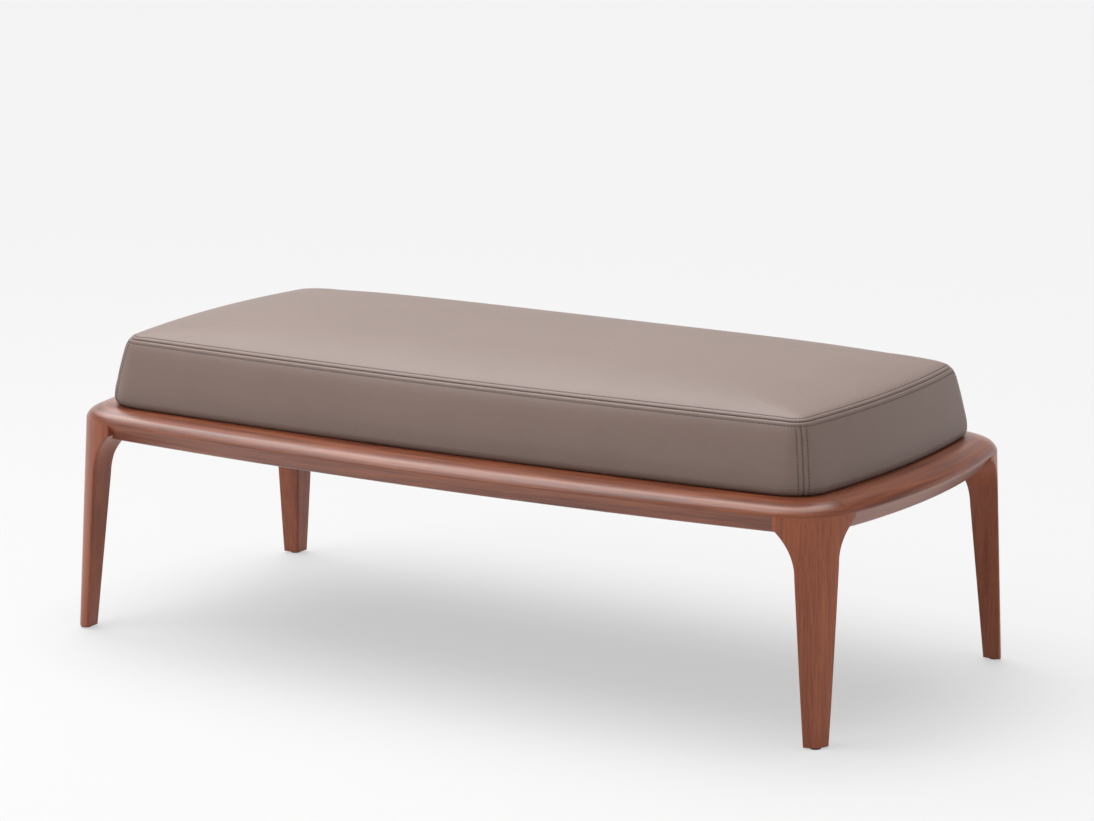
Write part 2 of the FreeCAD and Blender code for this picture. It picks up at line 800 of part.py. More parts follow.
# Cushion layers, from the outside in: leather panels, wadding over the top, foam round the board.
wadding_drop = "sizes.leather_thickness + sizes.wadding_thickness"
cover_outside = side_form("cover_outside", "0")
cover_inside = side_form("cover_inside", "sizes.leather_thickness")
crown_outside = crown_form("crown_outside", "0", "0")
crown_inside = crown_form("crown_inside", "sizes.leather_thickness", "sizes.leather_thickness")
crown_foam = crown_form("crown_foam", "sizes.leather_thickness", wadding_drop)
keep("cover_top", cut(crown_outside, crown_inside))
keep("wadding", cut(crown_inside, crown_foam))

foam_slab = box(
    "foam_slab",
    "sizes.bench_length",
    "sizes.bench_width",
    "sizes.side_height - 2 * sizes.leather_thickness",
    Vector(-half_length, -half_width, place("board_bottom")),
)
foam_sides = common(cover_inside, foam_slab)
keep("foam_core", cut(boolean("Fuse", foam_sides, crown_foam), board_blank))

turn_under_inset = "sizes.rim_width - sizes.cushion_end_inset + sizes.leather_lap"
turn_under_opening = plate(
    "turn_under_opening",
    "layout.ledge_height",
    "sizes.side_height",
    *cushion_outline(turn_under_inset, f"sizes.cushion_corner - ({turn_under_inset})"),
)
cover_sides = cut(cover_outside, cover_inside, turn_under_opening)
# the side panels meet along the corners' diagonals
seam_apex = cushion_half_length - cushion_half_width
end_blocks = []
for side, turn in ((1, -45), (-1, 135)):
    end_blocks.append(
        box(
            f"end_block_{len(end_blocks)}",
            "sizes.bench_length",
            "sizes.bench_length",
            "layout.seam_height",
            Vector(side * seam_apex, 0, 0),
            Rotation(Vector(0, 0, 1), turn),
        )
    )
keep("cover_side_right", common(cover_sides, end_blocks[0]))
keep("cover_side_left", common(cover_sides, end_blocks[1]))
cover_long_sides = cut(cover_sides, *end_blocks)
back_half = box(
    "back_half", "sizes.bench_length", "sizes.bench_width", "layout.seam_height", Vector(-half_length, 0, 0)
)
keep("cover_side_back", common(cover_long_sides, back_half))
keep("cover_side_front", cut(cover_long_sides, back_half))

# Dust cover stapled flat under the rim.
keep(
    "dust_cover",
    plate(
        "dust_cover_sheet",
        "layout.rim_bottom - sizes.dust_cover_thickness",
        "sizes.dust_cover_thickness",
        "layout.half_length - sizes.dust_cover_inset",
        "layout.half_width - sizes.dust_cover_inset",
        "layout.long_radius - sizes.dust_cover_inset",
        "layout.short_radius - sizes.dust_cover_inset",
        "sizes.rim_corner - sizes.dust_cover_inset",
    ),
)

doc.recompute()
for item in doc.Objects:
    if "Invalid" in item.State or "Error" in item.State:
        raise RuntimeError(f"{item.Label} did not compute")
for name, piece in pieces.items():
    if piece.Shape.isNull() or not piece.Shape.isValid() or not piece.Shape.Solids:
        raise RuntimeError(f"{name} has no valid solid")

os.makedirs("parts", exist_ok=True)
for name, piece in pieces.items():
    piece.Shape.exportStep(f"parts/{name}.step")
    print(name, len(piece.Shape.Solids), round(piece.Shape.Volume))
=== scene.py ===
import json
import math

import bmesh
import bpy
import numpy as np
from mathutils import Matrix


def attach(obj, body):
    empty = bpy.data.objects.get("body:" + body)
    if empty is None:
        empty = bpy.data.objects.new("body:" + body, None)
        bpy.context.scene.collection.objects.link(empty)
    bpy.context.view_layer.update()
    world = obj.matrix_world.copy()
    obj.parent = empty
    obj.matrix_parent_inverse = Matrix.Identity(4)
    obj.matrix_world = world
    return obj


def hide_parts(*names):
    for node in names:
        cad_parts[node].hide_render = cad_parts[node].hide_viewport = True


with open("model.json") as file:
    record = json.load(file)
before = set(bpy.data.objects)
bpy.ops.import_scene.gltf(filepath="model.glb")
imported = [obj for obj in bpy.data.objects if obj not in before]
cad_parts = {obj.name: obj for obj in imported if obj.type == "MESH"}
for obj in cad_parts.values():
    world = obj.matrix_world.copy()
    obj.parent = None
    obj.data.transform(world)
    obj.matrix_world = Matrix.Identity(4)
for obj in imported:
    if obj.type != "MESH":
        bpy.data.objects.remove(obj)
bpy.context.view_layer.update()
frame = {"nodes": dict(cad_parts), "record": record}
scene = bpy.context.scene
scene.view_settings.view_transform = "Standard"
corners = ["back_right", "back_left", "front_left", "front_right"]
mm = 0.001
print("frame loaded:", len(frame["nodes"]), "nodes")


# a bowed side through a half chord and its bow is an arc of (half chord squared + bow squared) / (2 bow)
def bowRadius(halfChord, bow):
    return (halfChord ** 2 + bow ** 2) / (2 * bow)


# eight arcs round the bench, counter-clockwise from the right end: a bowed side, a corner, and so on.
# The corner circle touches both sides from inside, so its centre is where the two shrunk side circles cross
def outlineArcs(halfLength, halfWidth, longRadius, shortRadius, corner):
    longBack = longRadius - halfWidth
    shortBack = shortRadius - halfLength
    longIn, shortIn = longRadius - corner, shortRadius - corner
    span = math.hypot(shortBack, longBack)
    along = (longIn ** 2 - shortIn ** 2 + span ** 2) / (2 * span)
    aside = math.sqrt(longIn ** 2 - along ** 2)
    x = (aside * longBack - along * shortBack) / span
    y = (along * longBack + aside * shortBack) / span - longBack
    low = math.atan2(y, x + shortBack)
    high = math.pi / 2 - math.atan2(x, y + longBack)
    centre = np.array([(-shortBack, 0), (x, y), (0, -longBack), (-x, y),
                       (shortBack, 0), (-x, -y), (0, longBack), (x, -y)])
    radius = np.array([shortRadius, corner, longRadius, corner] * 2)
    half, whole = math.pi, 2 * math.pi
    start = np.array([-low, low, high, half - high, half - low, half + low, half + high, whole - high])
    return centre, radius, start, np.append(start[1:], whole - low)


# a point of the outline is its arc's centre plus the arc's radius along the outward direction
def outlineAt(arcs, arcIndex, share):
    centre, radius, start, end = arcs
    angle = start[arcIndex] + share * (end[arcIndex] - start[arcIndex])
    outward = np.stack([np.cos(angle), np.sin(angle)], -1)
    return centre[arcIndex] + radius[arcIndex][:, None] * outward, outward


# smooth curve through given points: cubic pieces that never overshoot. The slope at a point is the harmonic mean
# of the rises before and after it, or level where these differ in sign
def smoothThrough(x, y, at):
    x, y, at = (np.asarray(v, float) for v in (x, y, at))
    step = np.diff(x)
    rise = np.diff(y) / step
    slope = np.zeros_like(y)
    same = rise[:-1] * rise[1:] > 0
    slope[1:-1][same] = 2 * rise[:-1][same] * rise[1:][same] / (rise[:-1] + rise[1:])[same]
    slope[0], slope[-1] = rise[0], rise[-1]
    k = np.clip(np.searchsorted(x, at) - 1, 0, len(x) - 2)
    t = (at - x[k]) / step[k]
    return (y[k] * (1 + 2 * t) * (1 - t) ** 2 + slope[k] * step[k] * t * (1 - t) ** 2
            + y[k + 1] * t ** 2 * (3 - 2 * t) + slope[k + 1] * step[k] * t ** 2 * (t - 1))


# object made of some data and put in the scene
def placed(name, data):
    thing = bpy.data.objects.new(name, data)
    scene.collection.objects.link(thing)
    return thing


# flat points given their heights
def raised(flat, height):
    return np.concatenate([flat, np.broadcast_to(height, (*flat.shape[:-1], 1))], -1)


# mesh piece from points in metres: smooth shading, with edges past the sharp angle kept crisp
def finishMesh(name, points, faces, material, sharp=40):
    mesh = bpy.data.meshes.new(name)
    mesh.from_pydata(points, [], faces)
    mesh.polygons.foreach_set("use_smooth", np.ones(len(mesh.polygons), bool))
    mesh.set_sharp_from_angle(angle=math.radians(sharp))
    mesh.materials.append(material)
    piece = placed(name, mesh)
    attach(piece, "root")
    return piece


# faces of a grid of points whose columns wrap round
def gridQuads(rows, cols):
    r, c = np.meshgrid(np.arange(rows - 1), np.arange(cols), indexing="ij")
    n = (c + 1) % cols
    return np.stack([r * cols + c, r * cols + n, (r + 1) * cols + n, (r + 1) * cols + c], -1).reshape(-1, 4)


# grid of points (rows, columns) in millimetres made a closed tube: columns wrap round, end rows are capped.
# Faces whose points are met the wrong way round enclose a volume below zero, and are turned
def tube(name, grid, material, sharp=40):
    rows, cols = grid.shape[:2]
    quads = gridQuads(rows, cols)
    first, last = np.arange(cols)[::-1], (rows - 1) * cols + np.arange(cols)
    points = grid.reshape(-1, 3) * mm
    a, b, c, d = (points[quads[:, k]] for k in range(4))
    volume = (np.cross(b - a, d - a) * a).sum() + (np.cross(d - c, b - c) * c).sum()
    if volume <= 0:
        quads, first, last = quads[:, ::-1], first[::-1], last[::-1]
    return finishMesh(name, points, quads.tolist() + [first.tolist(), last.tolist()], material, sharp)


# value stored on the mesh
def stored(shader, name):
    node = shader.id_data.nodes.new("ShaderNodeAttribute")
    node.attribute_name = name
    return node.outputs


# material with the shader's plain sockets set by name, and the place that its patterns are drawn on:
# the object's own coordinates, or a grain stored on the mesh
def nodeMaterial(name, grain=None, **sockets):
    material = bpy.data.materials.new(name)
    material.use_nodes = True
    nodes = material.node_tree.nodes
    shader = nodes["Principled BSDF"]
    for key, val in sockets.items():
        shader.inputs[key.replace("_", " ")].default_value = val
    place = stored(shader, grain)["Vector"] if grain else nodes.new("ShaderNodeTexCoord").outputs["Object"]
    return material, shader, place


# colour and roughness led to the shader
def paint(shader, colour, roughness):
    shader.id_data.links.new(colour, shader.inputs["Base Color"])
    shader.id_data.links.new(roughness, shader.inputs["Roughness"])


# outputs of a texture behind a mapping that stretches its pattern
def texture(kind, source, stretch=(1, 1, 1), **settings):
    nodes, links = source.id_data.nodes, source.id_data.links
    node = nodes.new("ShaderNodeTex" + kind)
    mapping = nodes.new("ShaderNodeMapping")
    mapping.inputs["Scale"].default_value = stretch
    links.new(source, mapping.inputs["Vector"])
    links.new(mapping.outputs["Vector"], node.inputs["Vector"])
    for key, val in settings.items():
        if key in node.inputs:
            node.inputs[key].default_value = val
        else:
            setattr(node, key, val)
    return node.outputs


# colour ramp through (place, colour) stops
def ramp(source, *stops):
    node = source.id_data.nodes.new("ShaderNodeValToRGB")
    elements = node.color_ramp.elements
    for _ in stops[2:]:
        elements.new(0.5)
    for element, (place, colour) in zip(elements, stops):
        element.position = place
        element.color = (*colour, 1)
    source.id_data.links.new(source, node.inputs["Fac"])
    return node.outputs["Color"]


# two colours blended by a fixed share or by a socket
def blendColour(kind, share, a, b):
    links = a.id_data.links
    node = a.id_data.nodes.new("ShaderNodeMix")
    node.data_type = "RGBA"
    node.blend_type = kind
    if isinstance(share, float):
        node.inputs["Factor"].default_value = share
    else:
        links.new(share, node.inputs["Factor"])
    links.new(a, node.inputs["A"])
    links.new(b, node.inputs["B"])
    return node.outputs["Result"]


# value from 0 to 1 spread between low and high
def spread(source, low, high):
    node = source.id_data.nodes.new("ShaderNodeMapRange")
    node.inputs["To Min"].default_value = low
    node.inputs["To Max"].default_value = high
    source.id_data.links.new(source, node.inputs["Value"])
    return node.outputs["Result"]


# bump on the shader's normal, on top of an earlier one where it is given
def bumpFrom(shader, height, strength, distance, before=None):
    links = shader.id_data.links
    node = shader.id_data.nodes.new("ShaderNodeBump")
    node.inputs["Strength"].default_value = strength
    node.inputs["Distance"].default_value = distance
    links.new(height, node.inputs["Height"])
    if before:
        links.new(before, node.inputs["Normal"])
    links.new(node.outputs["Normal"], shader.inputs["Normal"])
    return node.outputs["Normal"]


# stained wood sawn along one axis: bands, streaks and pores are noise drawn out along the grain, under satin lacquer
woodLook = {
    "dark": (0.172, 0.039, 0.015), "mid": (0.252, 0.064, 0.025), "light": (0.308, 0.088, 0.036),
    "poreDark": (0.091, 0.021, 0.008), "streakShare": 0.38, "poreShare": 0.5,
    "band": (3.0, 46), "streak": (9, 420), "pore": (34, 1500), "rimBand": (4.0, 125), "rimStreak": (9, 240),
    "roughness": (0.34, 0.5), "lacquerRoughness": 0.28, "woodShine": 0.15, "poreBump": (0.08, 0.0003),
}


# tones stand off from the middle one by the contrast, and all are darkened alike by the painted shade factor: below 1
# it paints shade into the wood's colour
def stainedWood(name, axis, paintedShadeFactor=1.0, contrast=1.0, lacquer=0.45, grain=None):
    material, shader, place = nodeMaterial(
        name, grain, Coat_Weight=lacquer, Coat_Roughness=woodLook["lacquerRoughness"],
        Specular_IOR_Level=woodLook["woodShine"])
    drawn = lambda key: tuple(woodLook[key][0 if k == axis else 1] for k in range(3))
    bandKey, streakKey = ("rimBand", "rimStreak") if grain else ("band", "streak")
    tone = {key: tuple(paintedShadeFactor * (m + contrast * (v - m)) for v, m in zip(woodLook[key], woodLook["mid"]))
            for key in ("dark", "mid", "light")}
    tone["poreDark"] = tuple(paintedShadeFactor * v for v in woodLook["poreDark"])
    band = texture("Noise", place, drawn(bandKey), Scale=1.0, Detail=4, Roughness=0.55, Distortion=0.35)
    streak = texture("Noise", place, drawn(streakKey), Scale=1.0, Detail=3, Roughness=0.6)
    pore = texture("Noise", place, drawn("pore"), Scale=1.0, Detail=2, Roughness=0.5)
    base = ramp(band["Fac"], (0.34, tone["dark"]), (0.5, tone["mid"]), (0.68, tone["light"]))
    fine = ramp(streak["Fac"], (0.38, tone["dark"]), (0.60, tone["light"]))
    stained = blendColour("MIX", woodLook["streakShare"], base, fine)
    poreMask = ramp(pore["Fac"], (0.30, (1, 1, 1)), (0.42, (0, 0, 0)))
    poreTone = ramp(pore["Fac"], (0.0, tone["poreDark"]), (1.0, tone["dark"]))
    poreShare = spread(poreMask, 0.0, woodLook["poreShare"])
    paint(shader, blendColour("MIX", poreShare, stained, poreTone), spread(streak["Fac"], *woodLook["roughness"]))
    bumpFrom(shader, pore["Fac"], *woodLook["poreBump"])
    return material


# pale unstained timber for the hidden frame, with the grain along one axis
def plainTimber(name, light, dark, stretch, roughness):
    material, shader, place = nodeMaterial(name)
    band = texture("Noise", place, stretch, Scale=1.0, Detail=5, Roughness=0.6, Distortion=0.4)
    paint(shader, ramp(band["Fac"], (0.3, dark), (0.7, light)), spread(band["Fac"], roughness - 0.08, roughness + 0.08))
    bumpFrom(shader, band["Fac"], 0.15, 0.0004)
    return material


# the crease colour is painted shade: the leather is darkened towards it in the seam's crease and the stitch dents
leatherLook = {
    "light": (0.176, 0.119, 0.100), "deep": (0.154, 0.102, 0.084), "crease": (0.035, 0.021, 0.017),
    "cloud": 5.5, "mottle": 95, "grain": 820, "pores": 1900, "mottleShare": 0.35, "seamShadeShare": 0.62,
    "roughness": (0.47, 0.60), "sheen": 0.06, "grainBump": (0.20, 0.00025), "poreBump": (0.10, 0.00015),
}


# smooth finished leather: slow tone changes, fine pebbled grain and pores, and painted shade along the seams and stitch
# rows
def leather():
    material, shader, place = nodeMaterial(
        "taupeLeather", Sheen_Weight=leatherLook["sheen"], Sheen_Roughness=0.5)
    cloud = texture("Noise", place, Scale=leatherLook["cloud"], Detail=5, Roughness=0.62)
    mottle = texture("Noise", place, Scale=leatherLook["mottle"], Detail=3, Roughness=0.6)
    pebble = texture("Voronoi", place, feature="DISTANCE_TO_EDGE", Scale=leatherLook["grain"], Randomness=1.0)
    pores = texture("Noise", place, Scale=leatherLook["pores"], Detail=2, Roughness=0.5)
    tone = ramp(cloud["Fac"], (0.3, leatherLook["deep"]), (0.7, leatherLook["light"]))
    speck = ramp(mottle["Fac"], (0.3, leatherLook["deep"]), (0.7, leatherLook["light"]))
    dark = ramp(mottle["Fac"], (0.0, leatherLook["crease"]), (1.0, leatherLook["deep"]))
    plain = blendColour("MIX", leatherLook["mottleShare"], tone, speck)
    # painted shade: the leather darkens towards the crease colour where the seam shade stored on the mesh is high
    seamShadeShare = spread(stored(shader, "paintedSeamShade")["Fac"], 0.0, leatherLook["seamShadeShare"])
    paint(shader, blendColour("MIX", seamShadeShare, plain, dark), spread(mottle["Fac"], *leatherLook["roughness"]))
    crease = spread(pebble["Distance"], 0.0, 1.0)
    first = bumpFrom(shader, crease, *leatherLook["grainBump"])
    bumpFrom(shader, pores["Fac"], *leatherLook["poreBump"], before=first)
    return material


# spun or woven goods: two crossing waves with uneven tone
def weave(name, light, dark, scale, roughness):
    material, shader, place = nodeMaterial(name, Sheen_Weight=0.15)
    warp = texture("Wave", place, (1, 0.15, 0.15), Scale=scale, Distortion=1.5, Detail=2)
    weft = texture("Wave", place, (0.15, 1, 0.15), bands_direction="Y", Scale=scale, Distortion=1.5, Detail=2)
    fuzz = texture("Noise", place, Scale=240, Detail=3)
    cross = blendColour("MULTIPLY", 1.0, warp["Color"], weft["Color"])
    tone = blendColour("MIX", 0.5, cross, fuzz["Color"])
    paint(shader, ramp(tone, (0.2, dark), (0.7, light)), spread(fuzz["Fac"], roughness - 0.06, roughness + 0.06))
    bumpFrom(shader, cross, 0.4, 0.0004)
    return material


# plated or machined metal: fine turning marks and a little uneven dullness
def metal(name, bright, dull, roughness):
    material, shader, place = nodeMaterial(name, Metallic=1.0)
    tarnish = texture("Noise", place, Scale=130, Detail=4)
    marks = texture("Noise", place, (300, 300, 3000), Scale=1.0, Detail=2)
    paint(shader, ramp(tarnish["Fac"], (0.35, dull), (0.65, bright)),
          spread(tarnish["Fac"], roughness - 0.1, roughness + 0.1))
    bumpFrom(shader, marks["Fac"], 0.1, 0.0002)
    return material


# black moulded nylon: fine grit, and scuffs that pale it
def mouldedNylon():
    material, shader, place = nodeMaterial("mouldedNylon")
    grit = texture("Noise", place, Scale=700, Detail=3)
    scuff = texture("Noise", place, Scale=120, Detail=4)
    tone = ramp(scuff["Fac"], (0.35, (0.016, 0.013, 0.012)), (0.7, (0.045, 0.038, 0.034)))
    paint(shader, tone, spread(scuff["Fac"], 0.42, 0.62))
    bumpFrom(shader, grit["Fac"], 0.2, 0.0002)
    return material


# waxed sewing thread: fine twist along the stitch
def thread():
    material, shader, place = nodeMaterial("brownThread", Sheen_Weight=0.2)
    twist = texture("Noise", place, Scale=1400, Detail=2)
    tone = ramp(twist["Fac"], (0.3, (0.028, 0.016, 0.012)), (0.7, (0.060, 0.037, 0.029)))
    paint(shader, tone, spread(twist["Fac"], 0.55, 0.75))
    bumpFrom(shader, twist["Fac"], 0.3, 0.0002)
    return material


finishes = {
    "stained_wood": stainedWood("stainedWoodAlong", 0),
    "raw_beech": plainTimber("rawBeech", (0.56, 0.37, 0.22), (0.42, 0.25, 0.13), (70, 5, 70), 0.6),
    "beech_dowel": plainTimber("beechDowel", (0.58, 0.40, 0.25), (0.45, 0.28, 0.15), (90, 60, 12), 0.62),
    "plywood": plainTimber("plywood", (0.55, 0.38, 0.22), (0.40, 0.25, 0.13), (4, 60, 500), 0.65),
    "leather": leather(),
    "black_cloth": weave("blackCloth", (0.030, 0.030, 0.031), (0.010, 0.010, 0.010), 260, 0.9),
    "foam": weave("foam", (0.80, 0.74, 0.58), (0.68, 0.61, 0.45), 400, 0.95),
    "wadding": weave("fibreWadding", (0.86, 0.86, 0.84), (0.72, 0.72, 0.70), 120, 0.95),
    "steel": metal("zincSteel", (0.66, 0.66, 0.66), (0.42, 0.42, 0.43), 0.34),
    "brass": metal("machinedBrass", (0.78, 0.57, 0.26), (0.55, 0.37, 0.15), 0.32),
    "nylon": mouldedNylon(),
}
# the rim is a shaded copy of the legs' wood: its tones are cut to 0.74 as painted shade, for the light that the cushion
# keeps off it
shadedRimWood = stainedWood("stainedWoodRimPaintedShade", 0, paintedShadeFactor=0.74, contrast=1.8, lacquer=0.75, grain="grain")
woodUpright = stainedWood("stainedWoodUpright", 2)
slotOf = {entry["node"]: entry["material_slot"] for entry in frame["record"]["subparts"]}
for node, piece in frame["nodes"].items():
    piece.data.materials.clear()
    piece.data.materials.append(finishes[slotOf[node]])
print("finishes made:", len(finishes))

rim = {
    "halfLength": 610, "halfWidth": 295, "longBow": 35.5, "shortBow": 43, "corner": 82.5, "arris": 294,
    "width": 66, "domeWidth": 46, "domeHeight": 18, "shoulder": 19.5, "crown": 93.5,
    "bandHeight": 25, "bandInset": 19, "bandRound": 8, "cornerReach": 46, "arrisRound": 0.7, "arrisEase": (0.5, 0.12),
    "points": {"shoulder": 18, "crown": 16, "ledge": 4, "inner": 6, "underside": 5, "turn": 8, "band": 9},
    "longRows": 61, "shortRows": 31, "bendRows": 33, "reachRows": 7,
}
rimLong = bowRadius(rim["halfLength"], rim["longBow"])
rimShort = bowRadius(rim["halfWidth"], rim["shortBow"])
rimArcs = outlineArcs(rim["halfLength"], rim["halfWidth"], rimLong, rimShort, rim["corner"])


# points at even angles: the centre plus the radius times (cosine, sine)
def arcPoints(centre, radius, start, end, count):
    angle = np.linspace(start, end, count)
    return np.array(centre) + radius * np.stack([np.cos(angle), np.sin(angle)], -1)


# section of the rim as (inset from the arris, height): rounded top of two arcs, flat ledge, inner face,
# underside, small round, and the undercut band back up to the arris
def rimSection():
    big, small = rim["crown"], rim["shoulder"]
    crownCentre = np.array([-rim["domeWidth"], rim["domeHeight"] - big])
    span = math.hypot(*crownCentre)
    unit = -crownCentre / span
    along = ((big - small) ** 2 - small ** 2 + span ** 2) / (2 * span)
    aside = math.sqrt((big - small) ** 2 - along ** 2)
    smallCentre = crownCentre + unit * along + np.array([-unit[1], unit[0]]) * aside
    knee = math.atan2(*(smallCentre - crownCentre)[::-1])
    start = math.atan2(*(-smallCentre)[::-1])
    slope = math.atan2(rim["bandHeight"], rim["bandInset"])
    tangent = rim["bandRound"] * math.tan(slope / 2)
    floor = -rim["bandHeight"]
    turnCentre = (-rim["bandInset"] - tangent, floor + rim["bandRound"])
    count = rim["points"]
    ledgeEnd, innerFoot = (-rim["width"], rim["domeHeight"]), (-rim["width"], floor)
    section = np.concatenate([
        arcPoints(smallCentre, small, start, knee, count["shoulder"]),
        arcPoints(crownCentre, big, knee, math.pi / 2, count["crown"])[1:],
        np.linspace((-rim["domeWidth"], rim["domeHeight"]), ledgeEnd, count["ledge"])[1:],
        np.linspace(ledgeEnd, innerFoot, count["inner"])[1:],
        np.linspace(innerFoot, (turnCentre[0], floor), count["underside"])[1:],
        arcPoints(turnCentre, rim["bandRound"], -math.pi / 2, slope - math.pi / 2, count["turn"])[1:],
    ])
    section = np.concatenate([section, np.linspace(section[-1], (0, 0), count["band"])[1:-1]])
    # the arris itself is eased by a hair
    lead = section[1] / np.linalg.norm(section[1]) * rim["arrisRound"]
    trail = section[-1] / np.linalg.norm(section[-1]) * rim["arrisRound"]
    most, least = rim["arrisEase"]
    return np.concatenate([[lead * most + trail * least, lead], section[1:], [trail, lead * least + trail * most]])


rimProfile = rimSection()


# one stretch of the rim: the section carried along the outline, square to it
def rimPiece(name, arcIndex, share):
    path, outward = outlineAt(rimArcs, arcIndex, share)
    flat = path[:, None] + outward[:, None] * rimProfile[:, :1]
    height = rimProfile[:, 1:] + rim["arris"]
    piece = tube(name, raised(flat, height), shadedRimWood, sharp=45)
    # the grain runs along the outline: way round the bench, inset from the arris, height
    arcLength = rimArcs[1] * (rimArcs[3] - rimArcs[2])
    way = (np.cumsum(arcLength) - arcLength)[arcIndex] + share * arcLength[arcIndex]
    wayInset = np.stack(np.broadcast_arrays(way[:, None], rimProfile[:, 0]), -1)
    grain = piece.data.attributes.new("grain", "FLOAT_VECTOR", "POINT")
    grain.data.foreach_set("vector", (raised(wayInset, height) * mm).astype(np.float32).ravel())
    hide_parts(name)
    return piece


# a rail leaves the corner's reach free at both ends of its arc: share = reach / (radius * angle)
def railShares(arc):
    reach = rim["cornerReach"] / (rimArcs[1][arc] * (rimArcs[3][arc] - rimArcs[2][arc]))
    return reach, 1 - reach


sideNames = {0: "right_rail", 2: "back_rail", 4: "left_rail", 6: "front_rail"}
for arc, name in sideNames.items():
    share = np.linspace(*railShares(arc), rim["longRows"] if arc % 4 else rim["shortRows"])
    rimPiece(name, np.full(len(share), arc), share)
for number, corner in enumerate(corners):
    before, bend, after = 2 * number, 2 * number + 1, (2 * number + 2) % 8
    lead = np.linspace(railShares(before)[1], 1, rim["reachRows"])[:-1]
    turn = np.linspace(0, 1, rim["bendRows"])
    trail = np.linspace(0, railShares(after)[0], rim["reachRows"])[1:]
    arcIndex = np.repeat([before, bend, after], [len(lead), len(turn), len(trail)])
    rimPiece("rim_corner_" + corner, arcIndex, np.concatenate([lead, turn, trail]))
print("rim made")

leg = {
    "width": 40, "footWidth": 25, "footShift": (15.5, 19), "flare": (78, 60), "reach": (30, 34), "glide": 2.5,
    "edgeRound": 2.6, "rowGap": 1.6, "lowRows": 36, "flankPoints": 8, "outerPoints": 26, "roundPoints": 5,
}


# corner of the section eased by a quadratic curve: weights (1-t)^2, 2t(1-t), t^2 on before, corner, after
def eased(corner, before, after, count):
    t = np.linspace(0, 1, count)[None, :, None]
    return (1 - t) ** 2 * before[:, None] + 2 * t * (1 - t) * corner[:, None] + t ** 2 * after[:, None]


# leg in the back right corner. At each height the section is a slice of a circle: the circle moves and shrinks
# from the rim's corner to the foot, and two flanks cut it, straight below and sweeping out under the rim
def legGrid():
    cornerCentre = rimArcs[0][1]
    radius = rim["corner"]
    inner = (math.sqrt(2 * radius ** 2 - leg["width"] ** 2) - leg["width"]) / 2
    shaft = cornerCentre + inner
    foot = shaft + np.array(leg["footShift"])
    flare, reach = np.array(leg["flare"], float), np.array(leg["reach"], float)
    flareStart = rim["arris"] - flare
    tips = flareStart + np.sqrt(reach * (2 * flare - reach))
    low = np.linspace(leg["glide"], flareStart.min(), leg["lowRows"], endpoint=False)
    high = np.arange(flareStart.min(), rim["arris"] - leg["rowGap"], leg["rowGap"])
    z = np.sort(np.concatenate([low, high, tips, [rim["arris"]]]))
    t = ((z - leg["glide"]) / (rim["arris"] - leg["glide"]))[:, None]
    centre = foot + (cornerCentre - foot) * t
    around = (leg["footWidth"] + (radius - leg["footWidth"]) * t)[:, 0]
    straight = np.clip((z[:, None] - leg["glide"]) / (flareStart - leg["glide"]), 0, 1)
    rise = np.clip(z[:, None] - flareStart, 0, None)
    out = np.minimum(flare - np.sqrt(np.clip(flare ** 2 - rise ** 2, 0, None)), reach)
    nook = foot + (shaft - foot) * straight - out
    first = np.stack([centre[:, 0] + np.sqrt(around ** 2 - (nook[:, 1] - centre[:, 1]) ** 2), nook[:, 1]], -1)
    last = np.stack([nook[:, 0], centre[:, 1] + np.sqrt(around ** 2 - (nook[:, 0] - centre[:, 0]) ** 2)], -1)
    ease = leg["edgeRound"]
    a0 = np.arctan2(first[:, 1] - centre[:, 1], first[:, 0] - centre[:, 0]) + ease / around
    a1 = np.arctan2(last[:, 1] - centre[:, 1], last[:, 0] - centre[:, 0]) - ease / around
    angle = a0[:, None] + (a1 - a0)[:, None] * np.linspace(0, 1, leg["outerPoints"])[None]
    outer = centre[:, None] + around[:, None, None] * np.stack([np.cos(angle), np.sin(angle)], -1)
    acrossX, acrossY = np.array([ease, 0.0]), np.array([0.0, ease])
    share = np.linspace(0, 1, leg["flankPoints"])[None, :, None]
    flankOne = (nook + acrossX)[:, None] + (first - acrossX - nook - acrossX)[:, None] * share
    flankTwo = (last - acrossY)[:, None] + (nook + acrossY - last + acrossY)[:, None] * share
    count = leg["roundPoints"]
    rounds = [eased(first, first - acrossX, outer[:, 0], count)[:, 1:-1],
              eased(last, outer[:, -1], last - acrossY, count)[:, 1:-1],
              eased(nook, nook + acrossY, nook + acrossX, count)[:, 1:-1]]
    section = np.concatenate([flankOne, rounds[0], outer, rounds[1], flankTwo, rounds[2]], 1)
    return raised(section, z[:, None, None])


legShape = legGrid()
for corner, mirror in zip(corners, [(1, 1, 1), (-1, 1, 1), (-1, -1, 1), (1, -1, 1)]):
    piece = tube("leg_" + corner, legShape * mirror, woodUpright, sharp=50)
    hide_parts("leg_" + corner)
print("legs made")

cushion = {
    "halfLength": 565, "halfWidth": 255, "longBow": 22, "shortBow": 25, "corner": 54, "seamCorner": 27,
    "foot": 312, "side": 93.5, "lean": 22, "tuck": 5.5, "crown": 22.5, "crownPower": 4.0, "endRun": 420,
    "cornerEase": 0.42, "cornerReach": 80, "cornerBlur": 30, "edgeSoftness": 10.5, "edgeFade": 24.0, "edgeTaps": 40,
    "turnUnder": 18, "underCorner": 29.0, "step": 0.5, "nearRun": 40, "farRows": 30, "farCrowding": 1.15,
    "liftRows": 60, "longColumns": 97, "shortColumns": 45, "fineRun": 9, "middleRun": 20, "rowSpacing": (1, 4, 10),
    "footRun": 12, "footSpacing": 3,
}
